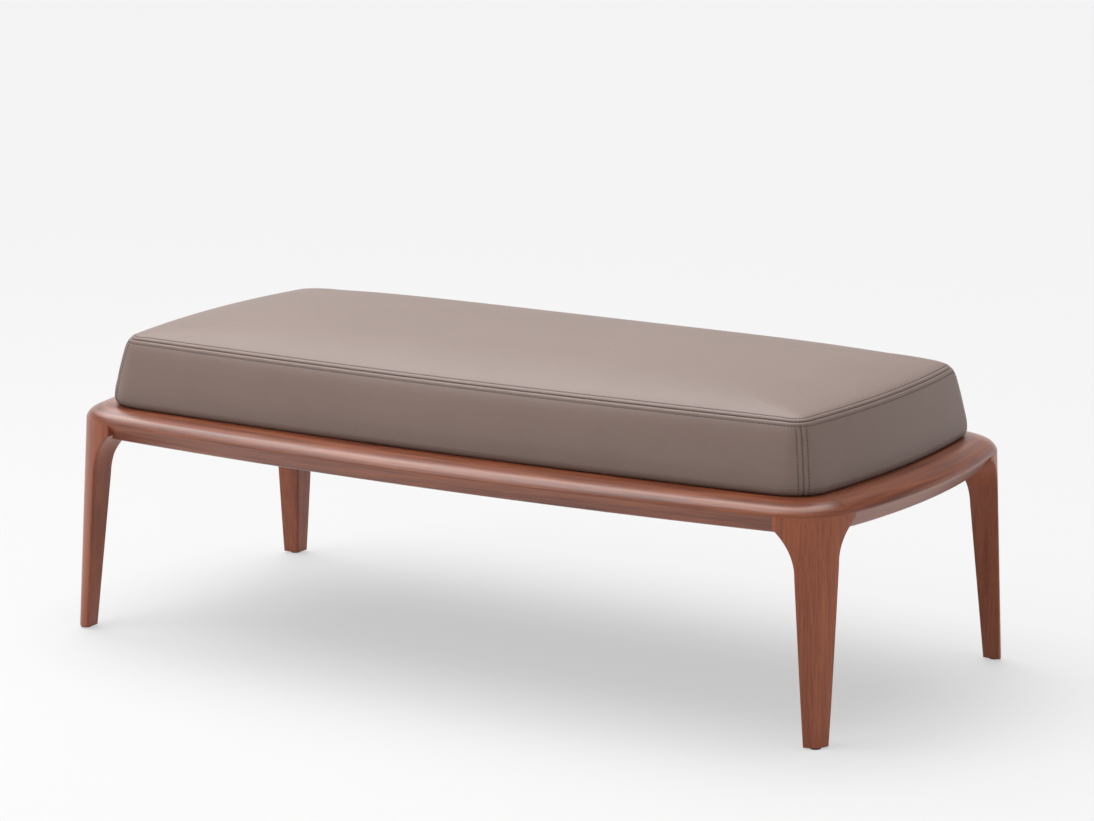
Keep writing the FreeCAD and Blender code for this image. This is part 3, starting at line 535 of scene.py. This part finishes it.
# the sides start a little slack, because they swell
sideShares = [0, 0.045, 0.11, 0.36, 0.64, 1]
slack = np.array([0, 0, 0.4, 2.2, 2.3, 0])
sideInsets = slack + [cushion["tuck"], 1.5, 0, 0.18 * cushion["lean"], 0.48 * cushion["lean"], cushion["lean"]]
cushionLong = bowRadius(cushion["halfLength"], cushion["longBow"])
cushionShort = bowRadius(cushion["halfWidth"], cushion["shortBow"])
cushionArcs = outlineArcs(cushion["halfLength"], cushion["halfWidth"], cushionLong, cushionShort, cushion["corner"])


# columns round the cushion, closer together near the upright seam in the middle of each corner
def cushionColumns():
    half = np.array([0.016, 0.034, 0.055, 0.08, 0.11, 0.145, 0.19, 0.24, 0.3, 0.36, 0.43])
    bend = np.concatenate([0.5 - half[::-1], [0.5], 0.5 + half])
    index, share = [], []
    for arc in range(8):
        values = bend if arc % 2 else np.linspace(0, 1, cushion["longColumns"] if arc % 4 else cushion["shortColumns"])
        index.append(np.full(len(values), arc))
        share.append(values)
    return np.concatenate(index), np.concatenate(share)


colArc, colShare = cushionColumns()


# the cushion's outline drawn in by an inset, with its own corner radius, at every column
def cushionOutline(inset, corner):
    arcs = outlineArcs(cushion["halfLength"] - inset, cushion["halfWidth"] - inset, cushionLong, cushionShort, corner)
    return outlineAt(arcs, colArc, colShare)


# the cover as one sheet. Rows below the seam follow the side's curve, rows above it climb from the seam to the
# middle line of the seat: height above the seam = crown * (1 - (1 - climb) ^ power), where the climb is the way in,
# held back near the corners so that no ridge runs in from them
def cushionGrid():
    seamZ = cushion["foot"] + cushion["side"]
    step, reach = cushion["step"], cushion["nearRun"]
    below = np.arange(-cushion["side"], 0, step)
    share = (below + cushion["side"]) / cushion["side"]
    inset = smoothThrough(sideShares, sideInsets, share)
    bend = cushion["corner"] + (cushion["seamCorner"] - cushion["corner"]) * share
    sideXy = np.stack([cushionOutline(*ring)[0] for ring in zip(inset, bend)])
    seam, outward = cushionOutline(cushion["lean"], cushion["seamCorner"])
    poleX = cushion["halfLength"] - cushion["lean"] - cushion["endRun"]
    bendStart = np.abs(seam[colArc == 2][0, 0])
    middle = np.stack([poleX * np.clip(seam[:, 0] / bendStart, -1, 1), np.zeros(len(seam))], -1)
    run = ((seam - middle) * outward).sum(-1)
    near = np.arange(0, reach + step, step)
    far = reach + (run[None] - reach) * (np.linspace(0, 1, cushion["farRows"])[1:, None] ** cushion["farCrowding"])
    way = np.concatenate([np.broadcast_to(near[:, None], (len(near), len(run))), far]) / run[None]
    topXy = seam[None] + (middle - seam)[None] * way[..., None]
    tips = seam[(colArc % 2 == 1) & (colShare == 0.5)]
    away = np.linalg.norm(seam[:, None] - tips[None], axis=-1).min(1)
    blurred = np.hypot(away, cushion["cornerBlur"]) - cushion["cornerBlur"]
    ease = cushion["cornerEase"] * np.exp(-blurred / cushion["cornerReach"])
    climb = way * (1 - ease * (1 - way))
    topZ = seamZ + cushion["crown"] * (1 - np.clip(1 - climb, 0, 1) ** cushion["crownPower"])
    grid = np.concatenate([raised(sideXy, (seamZ + below)[:, None, None]), raised(topXy, topZ[..., None])])
    return grid, len(below), np.concatenate([below, near])


# the edge under the seam is rounded by a bell-shaped average along the rows, fading out away from the seam
def softenEdge(grid, run):
    count, far = len(run), cushion["edgeTaps"]
    taps = np.arange(-far, far + 1)
    bell = np.exp(-0.5 * (taps * cushion["step"] / cushion["edgeSoftness"]) ** 2)
    bell /= bell.sum()
    padded = np.concatenate([np.repeat(grid[:1], far, 0), grid[:count], np.repeat(grid[count - 1:count], far, 0)])
    soft = sum(w * padded[far + k:far + k + count] for k, w in zip(taps, bell))
    share = np.exp(-(run / cushion["edgeFade"]) ** 4)[:, None, None]
    grid = grid.copy()
    grid[:count] = share * soft + (1 - share) * grid[:count]
    return grid


# direction square to the surface: the step along a row crossed with the step up a column, made unit length
def surfaceNormals(grid):
    along = np.roll(grid, -1, 1) - np.roll(grid, 1, 1)
    up = np.gradient(grid, axis=0)
    normal = np.cross(along, up)
    return normal / np.maximum(np.linalg.norm(normal, axis=-1, keepdims=True), 1e-9)


sewing = {
    "offset": 6.8, "seamDepth": 1.2, "seamWidth": 0.75, "rollHeight": 0.45, "rollAt": 3.4, "rollWidth": 1.8,
    "rowDepth": 0.4, "rowWidth": 0.9, "rowShade": 0.75, "rowShadeWidth": 0.75, "uprightStart": 1.0, "uprightFade": 5.0,
    "length": 3.5, "gap": 0.9, "radius": 0.7, "sink": 0.15, "flatness": 0.8, "endDrop": 0.35, "rings": 6, "sides": 6,
    "clearOfSeam": 2, "clearOfFoot": 3,
}


# bell curve: e to the power of minus (distance from its middle over its width) squared
def bellAt(distance, middle, width):
    return np.exp(-((np.abs(distance) - middle) / width) ** 2)


# a sewn line: a sharp valley at the join, a low roll each side and a slight dent under each row of stitches
def sewnDent(distance):
    return (-sewing["seamDepth"] * bellAt(distance, 0, sewing["seamWidth"])
            + sewing["rollHeight"] * bellAt(distance, sewing["rollAt"], sewing["rollWidth"])
            - sewing["rowDepth"] * bellAt(distance, sewing["offset"], sewing["rowWidth"]))


# how near a point is to a join or to a row of stitches, for the painted shade that darkens the leather in the seam's
# crease and the stitch dents
def sewnShade(distance):
    return np.maximum(bellAt(distance, 0, sewing["seamWidth"]),
                      sewing["rowShade"] * bellAt(distance, sewing["offset"], sewing["rowShadeWidth"]))


swell = {"pressure": 4.0, "frames": 20, "cap": 4.0, "mass": 0.3, "rowStep": 17, "topRows": (3, 24, 4), "columnStep": 2,
         "evening": 250}


# weights that read values off between known places: the smooth spline through them, written as a matrix
def splineWeights(known, wanted):
    known, count = np.asarray(known, float), len(known)
    h, i = np.diff(known), np.arange(1, count - 1)
    left, right = np.eye(count), np.zeros((count, count))
    left[i, i - 1], left[i, i], left[i, i + 1] = h[i - 1], 2 * (h[i - 1] + h[i]), h[i]
    right[i, i - 1], right[i, i], right[i, i + 1] = 6 / h[i - 1], -6 / h[i - 1] - 6 / h[i], 6 / h[i]
    bend = np.linalg.solve(left, right)
    k = np.clip(np.searchsorted(known, wanted) - 1, 0, count - 2)
    a = ((known[k + 1] - wanted) / h[k])[:, None]
    b = 1 - a
    whole = np.eye(count)
    curve = (a ** 3 - a) * bend[k] + (b ** 3 - b) * bend[k + 1]
    return a * whole[k] + b * whole[k + 1] + curve * (h[k] ** 2 / 6)[:, None]


# how far the cover swells along its normals: a coarse copy, held at its foot and along its seams, is blown up as
# cloth. Its last ring is closed straight across the bench, column k to its mirror image. The way out is capped at
# cap * tanh(way / cap), made the same on all four quarters and evened along the rows
def swelling(grid, run, seamRow):
    rows = np.concatenate([np.arange(0, len(run), swell["rowStep"]), len(run) + np.arange(*swell["topRows"])])
    cols = np.arange(0, grid.shape[1], swell["columnStep"])
    start = grid[rows][:, cols]
    count, wide = start.shape[:2]
    endMiddle = int((colArc == 0).sum()) // 4
    mirrored = (2 * endMiddle - np.arange(wide)) % wide
    ring = (count - 1) * wide
    k = np.arange(endMiddle + 1, endMiddle + wide // 2 - 1)
    bridge = ring + np.stack([k, k + 1, mirrored[k + 1], mirrored[k]], -1)
    ends = [[ring + m, ring + m + 1, ring + m - 1] for m in (endMiddle, endMiddle + wide // 2)]
    mesh = bpy.data.meshes.new("coarseCover")
    mesh.from_pydata(start.reshape(-1, 3) * mm, [], gridQuads(count, wide).tolist() + bridge.tolist() + ends)
    copy = placed("coarseCover", mesh)
    held = (rows == 0)[:, None] | (rows == seamRow)[:, None] | (
        (rows < seamRow)[:, None] & ((colArc % 2 == 1) & (colShare == 0.5))[cols][None])
    copy.vertex_groups.new(name="held").add(np.flatnonzero(held).tolist(), 1.0, "REPLACE")
    cloth = copy.modifiers.new("swell", "CLOTH")
    cloth.settings.use_pressure = True
    cloth.settings.uniform_pressure_force = swell["pressure"]
    cloth.settings.vertex_group_mass = "held"
    cloth.settings.mass = swell["mass"]
    cloth.settings.effector_weights.gravity = 0
    for frameNumber in range(1, swell["frames"] + 1):
        scene.frame_set(frameNumber)
    blown = np.empty(start.size)
    copy.evaluated_get(bpy.context.evaluated_depsgraph_get()).data.vertices.foreach_get("co", blown)
    scene.frame_set(1)
    bpy.data.objects.remove(copy)
    bpy.data.meshes.remove(mesh)
    out = ((blown.reshape(start.shape) / mm - start) * surfaceNormals(grid)[rows][:, cols]).sum(-1)
    out = swell["cap"] * np.tanh(np.clip(out, 0, None) / swell["cap"])
    out = 0.5 * (out + out[:, mirrored])
    out = 0.5 * (out + out[:, (mirrored + wide // 2) % wide][:, mirrored])
    for _ in range(swell["evening"]):
        out = 0.5 * out + 0.25 * (np.roll(out, 1, 1) + np.roll(out, -1, 1))
    out = np.concatenate([out, np.full((1, wide), out[-1].mean())])
    out = np.concatenate([out, out[:, :1]], 1)
    down = splineWeights(np.append(rows, len(grid) - 1), np.arange(len(grid)))
    across = splineWeights(np.append(cols, grid.shape[1]), np.arange(grid.shape[1]))
    return down @ out @ across.T


grid, seamRow, run = cushionGrid()
swollen = swelling(grid, run, seamRow)
print("swelling, mm: top", round(float(swollen[-1].max()), 2), "sides", round(float(swollen[:seamRow].max()), 2))
# sides and edge swell square to the cover, the top straight up
upward = np.clip((np.arange(len(grid)) - len(run)) / cushion["liftRows"] + 1, 0, 1)[:, None, None]
grid = grid + (surfaceNormals(grid) * (1 - upward) + np.array([0, 0, 1]) * upward) * swollen[..., None]
grid = softenEdge(grid, run)
normals = surfaceNormals(grid)
# distance from the upright corner seam, measured along each row
climbed = np.clip(1 + run / cushion["side"], 0, 1)
bendRadius = cushion["corner"] + (cushion["seamCorner"] - cushion["corner"]) * climbed
bendAngle = cushionArcs[3][1] - cushionArcs[2][1]
fromCorner = np.where(colArc % 2 == 1, (colShare - 0.5) * bendAngle, 9.0)[None] * bendRadius[:, None]
dent = np.zeros(grid.shape[:2])
dent[:len(run)] = sewnDent(run)[:, None]
upright = np.clip((-run - sewing["uprightStart"]) / sewing["uprightFade"], 0, 1)[:, None]
dent[:len(run)] += upright * sewnDent(fromCorner)
grid = grid + normals * dent[..., None]
# painted shade along the seams and stitch rows, kept for the leather's colour
crease = np.zeros(grid.shape[:2])
crease[:len(run)] = np.maximum(sewnShade(run)[:, None], upright * sewnShade(fromCorner))


# rows kept for the mesh: every one beside the seam, wider apart elsewhere, and closer again at the foot
def keptRows():
    fine, middle, coarse = cushion["rowSpacing"]
    level = np.arange(len(run))
    away = np.abs(run)
    spacing = np.where(away <= cushion["fineRun"], fine, np.where(away <= cushion["middleRun"], middle, coarse))
    foot = (run < -cushion["side"] + cushion["footRun"]) & (level % cushion["footSpacing"] == 0)
    return np.concatenate([np.flatnonzero((level % spacing == 0) | foot), np.arange(len(run), len(grid))])


# the cover's mesh, turned under at its foot and closed underneath
def cushionMesh():
    rows = keptRows()
    turned, _ = cushionOutline(cushion["tuck"] + cushion["turnUnder"], cushion["underCorner"])
    shape = np.concatenate([raised(turned, cushion["foot"])[None], grid[rows]])
    count, cols = shape.shape[:2]
    faces = gridQuads(count, cols).tolist() + [np.arange(cols)[::-1].tolist()]
    piece = finishMesh("cushionCover", shape.reshape(-1, 3) * mm, faces, finishes["leather"], sharp=75)
    # the painted seam shade is stored on the mesh for the leather
    paintedSeamShade = piece.data.attributes.new("paintedSeamShade", "FLOAT", "POINT")
    paintedSeamShade.data.foreach_set("value", np.concatenate([np.zeros((1, cols)), crease[rows]]).astype(np.float32).ravel())
    joined = bmesh.new()
    joined.from_mesh(piece.data)
    bmesh.ops.remove_doubles(joined, verts=joined.verts, dist=1e-6)
    bmesh.ops.recalc_face_normals(joined, faces=joined.faces)
    joined.to_mesh(piece.data)
    joined.free()
    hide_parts("cover_top", "cover_side_front", "cover_side_back", "cover_side_left", "cover_side_right",
                "foam_core", "wadding")
    return piece


cover = cushionMesh()
print("cushion made:", len(cover.data.polygons), "faces")


# points at even steps along a line of points, with the line's direction and the surface direction there
def evenSteps(line, facing, pitch, closed):
    if closed:
        line, facing = np.vstack([line, line[:1]]), np.vstack([facing, facing[:1]])
    way = np.append(0, np.cumsum(np.linalg.norm(np.diff(line, axis=0), axis=1)))
    count = int(way[-1] // pitch)
    at = (np.arange(count) + 0.5) * way[-1] / count
    sample = lambda values, where: np.stack([np.interp(where, way, values[:, k]) for k in range(3)], -1)
    ahead = sample(line, np.minimum(at + 1, way[-1])) - sample(line, np.maximum(at - 1, 0))
    return sample(line, at), ahead / np.linalg.norm(ahead, axis=1)[:, None], sample(facing, at)


# a small tube repeated along a line: its rings of points, turned to each place's own directions and moved there
def repeatedTubes(name, rings, places, ahead, side, facing, material, sharp):
    count, sides = rings.shape[:2]
    local = rings.reshape(1, -1, 3)
    points = (places[:, None] + local[..., :1] * ahead[:, None] + local[..., 1:2] * side[:, None]
              + local[..., 2:] * facing[:, None])
    size = count * sides
    first = size * np.arange(len(places))[:, None, None]
    quads = (gridQuads(count, sides)[None, :, ::-1] + first).reshape(-1, 4)
    ends = np.stack([np.arange(sides), size - 1 - np.arange(sides)])
    caps = (ends[None] + first).reshape(-1, sides)
    return finishMesh(name, points.reshape(-1, 3) * mm, quads.tolist() + caps.tolist(), material, sharp)


# a stitch is a short spindle: radius * square root of (1 - (way to the end) ^ 3.5), sinking towards both ends
def stitchMesh(name, places, ahead, facing, material):
    side = np.cross(facing, ahead)
    side /= np.linalg.norm(side, axis=1)[:, None]
    x = np.linspace(-1, 1, sewing["rings"])[:, None]
    angle = np.arange(sewing["sides"]) * 2 * math.pi / sewing["sides"]
    radius = sewing["radius"] * np.sqrt(np.clip(1 - np.abs(x) ** 3.5, 0.03, 1))
    height = radius * np.sin(angle) * sewing["flatness"] - sewing["endDrop"] * np.abs(x) ** 3 + sewing["sink"]
    along = np.broadcast_to(x * sewing["length"] / 2, height.shape)
    rings = np.stack([along, radius * np.cos(angle), height], -1)
    piece = repeatedTubes(name, rings, places, ahead, side, np.cross(ahead, side), material, sharp=80)
    return piece


normals = surfaceNormals(grid)
pitch = sewing["length"] + sewing["gap"]
bothSides = (-sewing["offset"], sewing["offset"])
rows = []
for offset in bothSides:
    row = int(np.argmin(np.abs(run - offset)))
    rows.append(evenSteps(grid[row], normals[row], pitch, True))
levels = np.flatnonzero((run < -sewing["offset"] - sewing["clearOfSeam"])
                        & (run > -cushion["side"] + sewing["clearOfFoot"]))
for arc in (1, 3, 5, 7):
    span = np.flatnonzero(colArc == arc)
    for offset in bothSides:
        place = np.clip(np.array([np.searchsorted(fromCorner[k, span], offset) for k in levels]), 1, len(span) - 1)
        low, high = span[place - 1], span[place]
        t = ((offset - fromCorner[levels, low]) / (fromCorner[levels, high] - fromCorner[levels, low]))[:, None]
        rows.append(evenSteps(grid[levels, low] * (1 - t) + grid[levels, high] * t,
                              normals[levels, low] * (1 - t) + normals[levels, high] * t, pitch, False))
places, ahead, facing = (np.concatenate([row[k] for row in rows]) for k in range(3))
stitchMesh("coverStitching", places, ahead, facing, thread())
print("stitches made:", len(places))

under = {
    "inset": 50, "drop": 0.3, "sag": 0.3, "arcSteps": 16, "rows": 14,
    "stapleInset": 57, "staplePitch": 45, "stapleDrop": 0.9, "stapleArcSteps": 60, "stapleSides": 6,
    "stapleWire": (0.6, 0.3),
    "stapleX": (-5.0, -4.9, -4.4, 0, 4.4, 4.9, 5.0), "stapleRise": (-0.8, -0.2, 0.15, 0.2, 0.15, -0.2, -0.8),
}
underside = rim["arris"] - rim["bandHeight"]


# the rim's outline drawn in by an inset, at even steps on each of its eight arcs
def rimInset(inset, steps):
    arcs = outlineArcs(rim["halfLength"] - inset, rim["halfWidth"] - inset, rimLong - inset, rimShort - inset,
                       rim["corner"] - inset)
    return outlineAt(arcs, np.repeat(np.arange(8), steps), np.tile(np.arange(steps) / steps, 8))[0]


# dust cover: the rim's outline drawn in, hanging slightly: drop = sag * (1 - way out ^ 2)
def dustSheet():
    inset = under["inset"]
    edge = rimInset(inset, under["arcSteps"])
    out = np.linspace(1, 0, under["rows"])
    flat = edge[None] * out[:, None, None]
    z = underside - under["drop"] - under["sag"] * (1 - out ** 2)
    shape = raised(flat, z[:, None, None])[:-1]
    count, cols = shape.shape[:2]
    middle = ((count - 1) * cols + np.arange(cols))[::-1]
    faces = gridQuads(count, cols)[:, ::-1].tolist() + [middle.tolist()]
    piece = finishMesh("dustCover", shape.reshape(-1, 3) * mm, faces, finishes["black_cloth"])
    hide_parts("dust_cover")
    return piece


# staples along the edge of the dust cover, each a flattened half-round wire with its ends turned up
def stapleRow():
    edge = rimInset(under["stapleInset"], under["stapleArcSteps"])
    line = raised(edge, underside - under["stapleDrop"])
    facing = np.broadcast_to(np.array([0.0, 0.0, -1.0]), line.shape)
    at, ahead, facing = evenSteps(line, facing, under["staplePitch"], True)
    angle = np.arange(under["stapleSides"]) * 2 * math.pi / under["stapleSides"]
    width, thickness = under["stapleWire"]
    x, rise, across = np.broadcast_arrays(
        np.array(under["stapleX"])[:, None], np.array(under["stapleRise"])[:, None], width * np.cos(angle)[None])
    rings = np.stack([x, across, rise + thickness * np.sin(angle)], -1)
    side = np.cross(facing, ahead)
    piece = repeatedTubes("dustCoverStaples", rings, at, ahead, side, facing, finishes["steel"], sharp=60)
    return piece


dustSheet()
stapleRow()
print("underside made")

studio = {
    "floor": (0.59, 0.59, 0.59), "floorBounce": (0.78, 0.78, 0.78), "floorHalf": 30.0, "evenShare": 0.6, "cloud": 0.99,
    "background": (0.887, 0.887, 0.887), "ceiling": (0.18, 0.18, 0.18), "paleBelow": 0.14, "darkAbove": 0.45,
    "ambient": 0.05, "sunDistance": 4,
    "suns": {
        "overheadSoft": {"from": (-0.25, 0.10, 0.96), "spread": 70, "strength": 3.4},
        "backSoft": {"from": (-0.50, 0.40, 0.77), "spread": 50, "strength": 1.3},
        "rightSoft": {"from": (0.75, -0.30, 0.59), "spread": 110, "strength": 0.72},
    },
    "panels": {
        "frontPanel": {"at": (-1.55, -1.75, 2.55), "aim": (0, -0.25, 0.33), "size": (1.8, 2.2), "power": 41},
    },
}


# output of a node tree: one shader for what the camera sees straight or by a reflection, another for light thrown on
# other surfaces. The share is the greatest of the flags for camera, glossy and transmission rays
def showByView(kind, seen, thrown):
    nodes, links = seen.id_data.nodes, seen.id_data.links
    path = nodes.new("ShaderNodeLightPath").outputs
    share = path["Is Camera Ray"]
    for name in ("Is Glossy Ray", "Is Transmission Ray"):
        most = nodes.new("ShaderNodeMath")
        most.operation = "MAXIMUM"
        links.new(share, most.inputs[0])
        links.new(path[name], most.inputs[1])
        share = most.outputs["Value"]
    blend = nodes.new("ShaderNodeMixShader")
    for source, socket in zip((share, thrown, seen), blend.inputs):
        links.new(source, socket)
    links.new(blend.outputs["Shader"], nodes.new("ShaderNodeOutput" + kind).inputs["Surface"])


# pale floor: for camera and reflections part of it glows evenly, so that the shadow stays faint
def paleFloor():
    material = bpy.data.materials.new("paleFloor")
    material.use_nodes = True
    nodes, links = material.node_tree.nodes, material.node_tree.links
    nodes.clear()
    shaded, thrown = nodes.new("ShaderNodeBsdfDiffuse"), nodes.new("ShaderNodeBsdfDiffuse")
    even, seen = nodes.new("ShaderNodeEmission"), nodes.new("ShaderNodeMixShader")
    cloud = texture("Noise", nodes.new("ShaderNodeTexCoord").outputs["Object"], Scale=0.6, Detail=2)
    pale = studio["floor"]
    clouded = ramp(cloud["Fac"], (0.0, tuple(studio["cloud"] * v for v in pale)), (1.0, pale))
    links.new(clouded, shaded.inputs["Color"])
    even.inputs["Color"].default_value = (*studio["background"], 1)
    seen.inputs["Fac"].default_value = studio["evenShare"]
    links.new(shaded.outputs["BSDF"], seen.inputs[1])
    links.new(even.outputs["Emission"], seen.inputs[2])
    thrown.inputs["Color"].default_value = (*studio["floorBounce"], 1)
    showByView("Material", seen.outputs["Shader"], thrown.outputs["BSDF"])
    return material


# floor, world and lamps. The world is pale near the horizon and darker overhead
def makeStudio():
    half = studio["floorHalf"]
    mesh = bpy.data.meshes.new("floor")
    mesh.from_pydata([(-half, -half, 0), (half, -half, 0), (half, half, 0), (-half, half, 0)], [], [(0, 1, 2, 3)])
    mesh.materials.append(paleFloor())
    floor = placed("floor", mesh)
    world = bpy.data.worlds.new("studio")
    scene.world = world
    world.use_nodes = True
    nodes, links = world.node_tree.nodes, world.node_tree.links
    nodes.clear()
    seen, thrown = nodes.new("ShaderNodeBackground"), nodes.new("ShaderNodeBackground")
    way = nodes.new("ShaderNodeSeparateXYZ")
    links.new(nodes.new("ShaderNodeTexCoord").outputs["Generated"], way.inputs["Vector"])
    sky = ramp(way.outputs["Z"],
               (studio["paleBelow"], studio["background"]), (studio["darkAbove"], studio["ceiling"]))
    links.new(sky, seen.inputs["Color"])
    thrown.inputs["Color"].default_value = (1, 1, 1, 1)
    thrown.inputs["Strength"].default_value = studio["ambient"]
    showByView("World", seen.outputs["Background"], thrown.outputs["Background"])
    for name, spec in studio["suns"].items():
        lamp = bpy.data.lights.new(name, "SUN")
        lamp.energy = spec["strength"]
        lamp.angle = math.radians(spec["spread"])
        placed(name, lamp).matrix_world = lookAt(studio["sunDistance"] * np.array(spec["from"]), (0, 0, 0))
    for name, spec in studio["panels"].items():
        lamp = bpy.data.lights.new(name, "AREA")
        lamp.shape = "RECTANGLE"
        lamp.size, lamp.size_y = spec["size"]
        lamp.energy = spec["power"]
        placed(name, lamp).matrix_world = lookAt(spec["at"], spec["aim"])


# place and turn of a lamp or camera at a point: its back looks away from the aim, its right lies level
def lookAt(at, aim):
    at, aim = np.array(at, float), np.array(aim, float)
    back = (at - aim) / np.linalg.norm(at - aim)
    right = np.cross((0, 0, 1), back)
    right /= np.linalg.norm(right)
    up = np.cross(back, right)
    turn = np.eye(4)
    turn[:3] = np.stack([right, up, back, at], -1)
    return Matrix(turn.tolist())


view = {
    "azimuth": 30.88, "elevation": 12.07, "distance": 5.968, "target": (0.1171, -0.0053, 0.3284),
    "focal": 4476.4, "middle": (606.54, 416.24), "image": (1094, 821), "sensor": 36, "clipEnd": 200,
}


# the camera stands back from the target, then turns so that its axis runs through the middle of the image
def makeCamera():
    a, e = math.radians(view["azimuth"]), math.radians(view["elevation"])
    back = np.array([math.sin(a) * math.cos(e), -math.cos(a) * math.cos(e), math.sin(e)])
    right = np.array([math.cos(a), math.sin(a), 0])
    up = np.cross(back, right)
    at = np.array(view["target"]) + back * view["distance"]
    offX = view["image"][0] / 2 - view["middle"][0]
    offY = view["middle"][1] - view["image"][1] / 2
    axis = -back * view["focal"] + right * offX + up * offY
    data = bpy.data.cameras.new("photoView")
    data.sensor_width = view["sensor"]
    data.lens = view["focal"] * view["sensor"] / view["image"][0]
    data.clip_end = view["clipEnd"]
    camera = placed("photoView", data)
    camera.matrix_world = lookAt(at, at + axis)
    scene.camera = camera


makeStudio()
makeCamera()
bpy.context.view_layer.update()
print("stage made")
